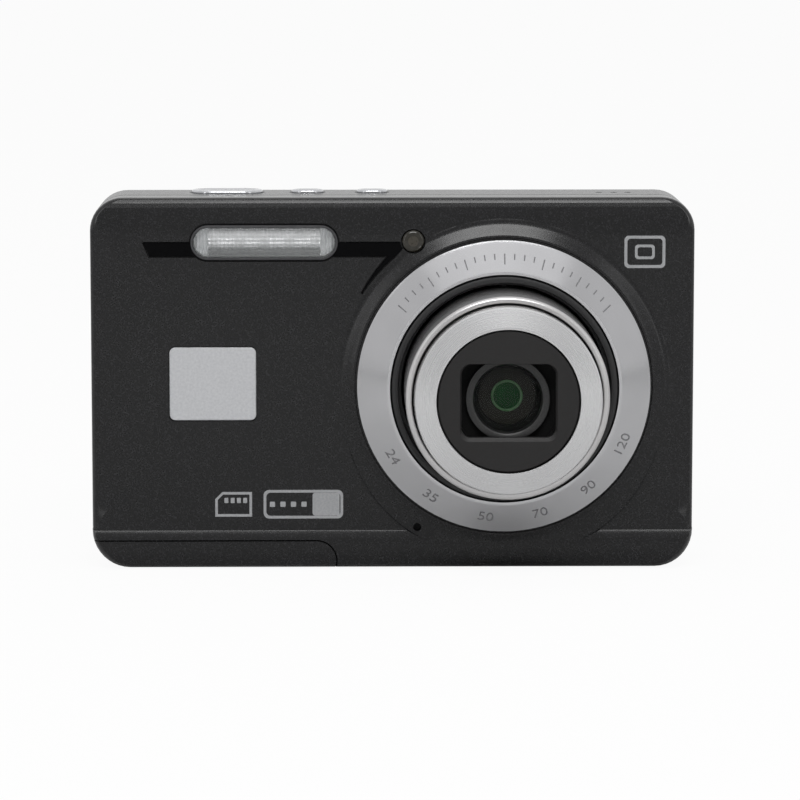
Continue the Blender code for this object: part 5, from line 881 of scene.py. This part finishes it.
# Top keys: shutter, power and mode keys in chrome-plated plastic, dished and sprung in their openings.
# Plating is bright with faint polishing haze; a fine satin break runs round each edge.
chrome = grained("satin_plated_plastic", "bcbdc0", "cacbce", 0.5, 0.17, 0.001, metallic=0.9)


def key_rings(outline, crown, dish, base):
    """A key cap with a rounded edge and a shallow dish, from its crown down to a base."""
    steps = [(outline(-1.1), crown - dish), (outline(-0.75), crown - dish * 0.7), (outline(-0.42), crown)]
    for turn in (20, 40, 60, 80):
        angle = radians(turn)
        steps.append((outline(-0.3 * (1 - sin(angle))), crown - 0.3 * (1 - cos(angle))))
    return steps + [(outline(0.0), crown - 0.32), (outline(0.0), base)]


def flange(outline, top, foot):
    """A key's flange behind the wall and the stem under it."""
    steps = ((0.7, top), (0.7, foot + 0.5), (-0.7, foot + 0.5), (-0.7, foot))
    return [(outline(grow), level) for grow, level in steps]


for name, size in TOP_KEYS.items():
    low, high = extent(name)
    outline = pill(middle(name)[0], KEY_Y, *size)
    cap = key_rings(outline, high.z, 0.14, TOP - 1.7) + flange(outline, TOP - 1.7, low.z)
    piece(name + "_cap", levels("Z", *cap), name, chrome, "bright_silver", name)

# Screen: a sheet of hard-coated acrylic, printed black round its inner edge, over the dark panel.
# The active area is a shade greyer than the border when it is off.
hard_coat = grained("hard_coated_acrylic", "0b0b0d", "101013", 1.5, 0.06, 0.0006, ior=1.49, coat_weight=0.5)
sheet = stepped(screen_outline, ((0.0, -0.8), (0.0, -0.12), (-0.04, -0.03), (-0.12, 0.0)), BACK)
piece("screen_sheet", sheet, "camera_body", hard_coat, "gloss_black_trim", "lcd_window")
panel_grey = grained("display_panel_glass", "1b1d21", "202328", 0.3, 0.1, 0.0004)
inset = (screen_low.x + 2.2, screen_high.x - 2.2, screen_low.z + 2.6, screen_high.z - 1.8)
active = straight("Y", rounded(*inset, 0.3, 0.3, 4), BACK - 0.01, BACK + 0.02)
piece("screen_active_area", active, "camera_body", panel_grey, "gloss_black_trim")

# Rear keys: black moulded caps with a satin crown, sprung behind the wall, with pad-printed signs.
# Signs are plain ones: three lines, a triangle, a dot and a bin.
satin_key = grained("satin_black_key_plastic", "18181a", "212123", 0.2, 0.4, 0.004)
# Matte inks: the same white or red at every angle
sign_ink = grained("white_pad_print_ink", "b9babb", "c9cacb", 0.3, 0.5, 0.001)
red_ink = grained("red_pad_print_ink", "8f1f1c", "a32824", 0.3, 0.5, 0.001)
CROWN = BACK + 0.45
SIGN_HALF = 0.02


def key_sign(name, body, outlines, finish, face):
    """Thin ink areas on a key's crown."""
    return printed(name, outlines, body, finish, "black_plastic", face - SIGN_HALF, face + SIGN_HALF)


def bar(x, z, width, height):
    """A small bar's outline."""
    return block(x, z, width, height, 0.06, 2)


for name, size in BACK_KEYS.items():
    x, _, z = middle(name)
    outline = pill(x, z, *size)
    cap = key_rings(outline, CROWN, 0.0, BACK - 1.8) + flange(outline, BACK - 1.8, extent(name)[0].y)
    piece(name + "_cap", levels("Y", *cap), name, satin_key, "black_plastic", name)
    signs = {
        "menu_button": [bar(x, z + rise, 1.7, 0.24) for rise in (-0.55, 0.0, 0.55)],
        "play_button": [[(x + 0.55, z + 0.75), (x + 0.55, z - 0.75), (x - 0.75, z)]],
        "delete_button": [bar(x, z + 0.65, 1.5, 0.2), bar(x, z - 0.15, 1.1, 1.2)],
        "record_button": [circle(x, z, 0.7)],
    }
    key_sign(name + "_sign", name, signs[name], red_ink if name == "record_button" else sign_ink, CROWN)

# Four-way pad, centre key and zoom rocker: the pad is a ring on a dome sheet, the rocker tips in place.
# The pad has four printed dots, the rocker a ridged grip in plated plastic.
PAD_BORE = 3.7
PAD_RECESS = 4.55
RECESS_ROOF = 7.6
DOT_REACH = 5.6
foot = extent("nav_pad")[0].y
pad = [(PAD_RADIUS - 0.3, CROWN), (PAD_RADIUS - 0.1, CROWN - 0.08), (PAD_RADIUS, CROWN - 0.3)]
pad += [(PAD_RADIUS, foot + 0.5), (PAD_RADIUS + 0.8, foot + 0.5), (PAD_RADIUS + 0.8, foot)]
pad += [(PAD_RECESS, foot), (PAD_RECESS, RECESS_ROOF), (PAD_BORE, RECESS_ROOF), (PAD_BORE, CROWN - 0.3)]
pad += [(PAD_BORE + 0.1, CROWN - 0.08), (PAD_BORE + 0.3, CROWN), (DOT_REACH, CROWN - 0.16)]
pad = levels("Y", *[(circle(CONTROLS_X, PAD_Z, radius, 96), level) for radius, level in pad], ends=False)
piece("four_way_pad", pad, "nav_pad", satin_key, "black_plastic", "nav_pad")
sides = ((1, 0), (0, 1), (-1, 0), (0, -1))
dots = [circle(CONTROLS_X + DOT_REACH * u, PAD_Z + DOT_REACH * v, 0.3, 24) for u, v in sides]
key_sign("pad_dots", "nav_pad", dots, sign_ink, CROWN - 0.13)
low, high = extent("ok_button")
outline = round_hole(CONTROLS_X, PAD_Z, 3.3)
cap = key_rings(outline, high.y, 0.12, low.y + 0.25) + [(outline(0.6), low.y + 0.25), (outline(0.6), low.y)]
piece("centre_key_cap", levels("Y", *cap), "ok_button", satin_key, "black_plastic", "ok_button")
low, high = extent("zoom_rocker")
rocker = solid("rocker_cap", levels("Y", *key_rings(rocker_outline, high.y, 0.1, low.y)))
tab = rounded(CONTROLS_X - 2.2, CONTROLS_X + 2.2, low.z, high.z, 0.05, 0.05, 2)
carve(rocker, "UNION", straight("Y", tab, low.y + 0.15, low.y + 0.75))
for offset in (-0.9, -0.3, 0.3, 0.9):
    groove = bar(CONTROLS_X + offset, ROCKER_Z, 0.22, 2.6)
    carve(rocker, "DIFFERENCE", straight("Y", groove, high.y - 0.24, high.y + 0.5))
settle(rocker, "zoom_rocker", chrome, "bright_silver", "zoom_rocker")
signs = [bar(CONTROLS_X + side, ROCKER_Z, 1.3, 0.25) for side in (4.3, -4.3)]
signs.append(bar(CONTROLS_X - 4.3, ROCKER_Z, 0.25, 1.3))
key_sign("rocker_signs", "zoom_rocker", signs, matte_black, high.y - 0.06)

# Inside: what the open door or a parked lens shows, and the rest of the works, as the CAD made them.
# Each takes the finish of its real material: stamped steel, moulded nylon, lacquered board, wrapped cells.
steel = grained("rolled_steel_sheet", "8f9093", "a6a7aa", 0.35, 0.36, 0.002, metallic=1.0)
nylon = grained("glass_filled_nylon", "161617", "232324", 0.3, 0.6, 0.008, ior=1.53)
# Flocked black swallows nearly all light, so the window round the glass stays dark
light_trap = grained("flocked_black", "0a0a0a", "101010", 0.2, 0.7, 0.004, specular_ior_level=0.15)
# Green under gloss, a dull wrap, a latch that catches the eye, dark blades and a mirror-dark sensor
board = grained("lacquered_circuit_board", "123a20", "1c4f2d", 0.7, 0.3, 0.006, ior=1.55)
wrap = grained("matte_cell_wrap", "303136", "3b3c42", 0.8, 0.5, 0.004)
orange = grained("orange_acetal", "b4551f", "c7642a", 0.4, 0.42, 0.004, ior=1.48)
blade_black = grained("painted_spring_steel", "151516", "1e1e1f", 0.25, 0.48, 0.004, metallic=0.2)
sensor_glass = grained(
    "sensor_cover_glass", "1a2b29", "243a36", 0.15, 0.08, 0.0005, ior=1.52, coat_weight=0.4)
DRESS = {
    steel: ("main_chassis", "sensor_plate", "zoom_motor", "speaker", "card_socket", "usb_socket",
            "tripod_bush", "door_hinge_pin", "nav_dome"),
    nylon: ("lens_housing", "cam_ring", "gear_case", "battery_box", "memory_card", "lcd_panel", "strap_lug",
            "microphone"),
    light_trap: ("barrier_carrier", "front_lens_cell"),
    wrap: ("battery", "flash_capacitor"),
    board: ("main_board", "key_board"),
    orange: ("battery_latch",),
    blade_black: ("barrier_upper_main", "barrier_upper_second", "barrier_lower_main", "barrier_lower_second"),
    mirror: ("flash_reflector",),
    tube_glass: ("flash_tube",),
    green_coat: ("zoom_lens", "focus_lens"),
    iris_black: ("iris_plate",),
    sensor_glass: ("image_sensor",),
}
for finish, nodes in DRESS.items():
    for node in nodes:
        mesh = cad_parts[node].data
        mesh.materials.clear()
        mesh.materials.append(finish)

# Studio: a pale seamless floor in an even white surround, soft lamps above, before and at each side.
# The camera stands low in front, a long lens away, as the photograph was taken.
FLOOR_DROP = 0.2
SHADE_X = -8.1
SHADE_Y = 1.3
AIM = (1.1, FRONT, 25.8)
STAND_OFF = (-8.3, -595.0, 76.2)


def seen_rays(tree):
    """A light path's outputs, and whether the camera sees straight or through glass."""
    ray = add(tree, "LightPath").outputs
    direct = {0: ray["Is Camera Ray"], 1: ray["Is Transmission Ray"]}
    return ray, add(tree, "Math", (), direct, operation="MAXIMUM")


grid_shape = bmesh.new()
bmesh.ops.create_grid(grid_shape, x_segments=1, y_segments=1, size=4.0)
floor = solid("floor", grid_shape)
floor.location.z = -FLOOR_DROP * MM
# Matte paper with a faint fibre, shown white to the camera
sweep, tree, spot = empty_material("white_paper_sweep")
fibre = add(tree, "TexNoise", {"Scale": 1 / (4 * MM)}, {"Vector": spot})
tone = add(tree, "MapRange", {"To Min": 0.9, "To Max": 0.93}, {"Value": fibre})
paper = add(tree, "BsdfDiffuse", (), {"Color": tone})
glow = add(tree, "Emission")
_, seen = seen_rays(tree)
# This strip of paper lies under the body; lit, it would show white through the door's seam
there = add(tree, "SeparateXYZ", (), {"Vector": spot}).outputs
along = add(tree, "Math", {1: SHADE_X * MM, 2: 0.7 * MM}, {0: there["X"]}, operation="COMPARE")
deep = add(tree, "Math", {1: SHADE_Y * MM, 2: 7.7 * MM}, {0: there["Y"]}, operation="COMPARE")
under = add(tree, "Math", (), {0: along, 1: deep}, operation="MULTIPLY")
lit = add(tree, "MapRange", {"To Min": 0.94, "To Max": 0.0}, {"Value": under})
share = add(tree, "Math", (), {0: seen, 1: lit}, operation="MULTIPLY")
mixed = add(tree, "MixShader", (), {"Fac": share, 1: paper, 2: glow})
add(tree, "OutputMaterial", (), {"Surface": mixed})
floor.data.materials.append(sweep)

world = bpy.data.worlds.new("studio")
bpy.context.scene.world = world
world.use_nodes = True
tree = world.node_tree
tree.nodes.clear()
ray, seen = seen_rays(tree)
way = add(tree, "TexCoord").outputs["Generated"]
depth = add(tree, "SeparateXYZ", (), {"Vector": way}).outputs["Y"]
# The room is a little darker on the camera's side than the white sweep behind
ramp = {"From Min": -0.9, "From Max": 0.3, "To Min": 0.64, "To Max": 0.95}
room = add(tree, "MapRange", ramp, {"Value": depth})
level = add(tree, "Mix", {"A": 0.44}, {"Factor": ray["Is Glossy Ray"], "B": room})
level = add(tree, "Mix", {"B": 1.0}, {"Factor": seen, "A": level})
surround = add(tree, "Background", {"Color": srgb("ffffff")}, {"Strength": level})
add(tree, "OutputWorld", (), {"Surface": surround})
# Soft lamps aimed at the body: place and size in metres, power in watts
for name, spot, width, height, power in (
    ("overhead", (0.0, -0.2, 0.95), 1.2, 0.9, 0.9),
    ("front_strip", (0.0, -0.585, 0.575), 0.45, 0.2, 2.6),
    ("left_strip", (-0.55, -0.6, 0.25), 0.12, 0.5, 0.35),
    ("right_strip", (0.55, -0.6, 0.25), 0.12, 0.5, 0.35),
):
    data = bpy.data.lights.new(name, "AREA")
    data.shape = "RECTANGLE"
    data.size = width
    data.size_y = height
    data.energy = power
    lamp = link(name, data)
    lamp.location = spot
    lamp.rotation_euler = (Vector((0.0, 0.0, 0.03)) - Vector(spot)).to_track_quat("-Z", "Y").to_euler()

lens = bpy.data.cameras.new("camera")
lens.lens = 178.0
camera = link("camera", lens)
camera.location = (Vector(AIM) + Vector(STAND_OFF)) * MM
camera.rotation_euler = (-Vector(STAND_OFF)).to_track_quat("-Z", "Y").to_euler()
bpy.context.scene.camera = camera
bpy.context.scene.view_settings.view_transform = "Standard"
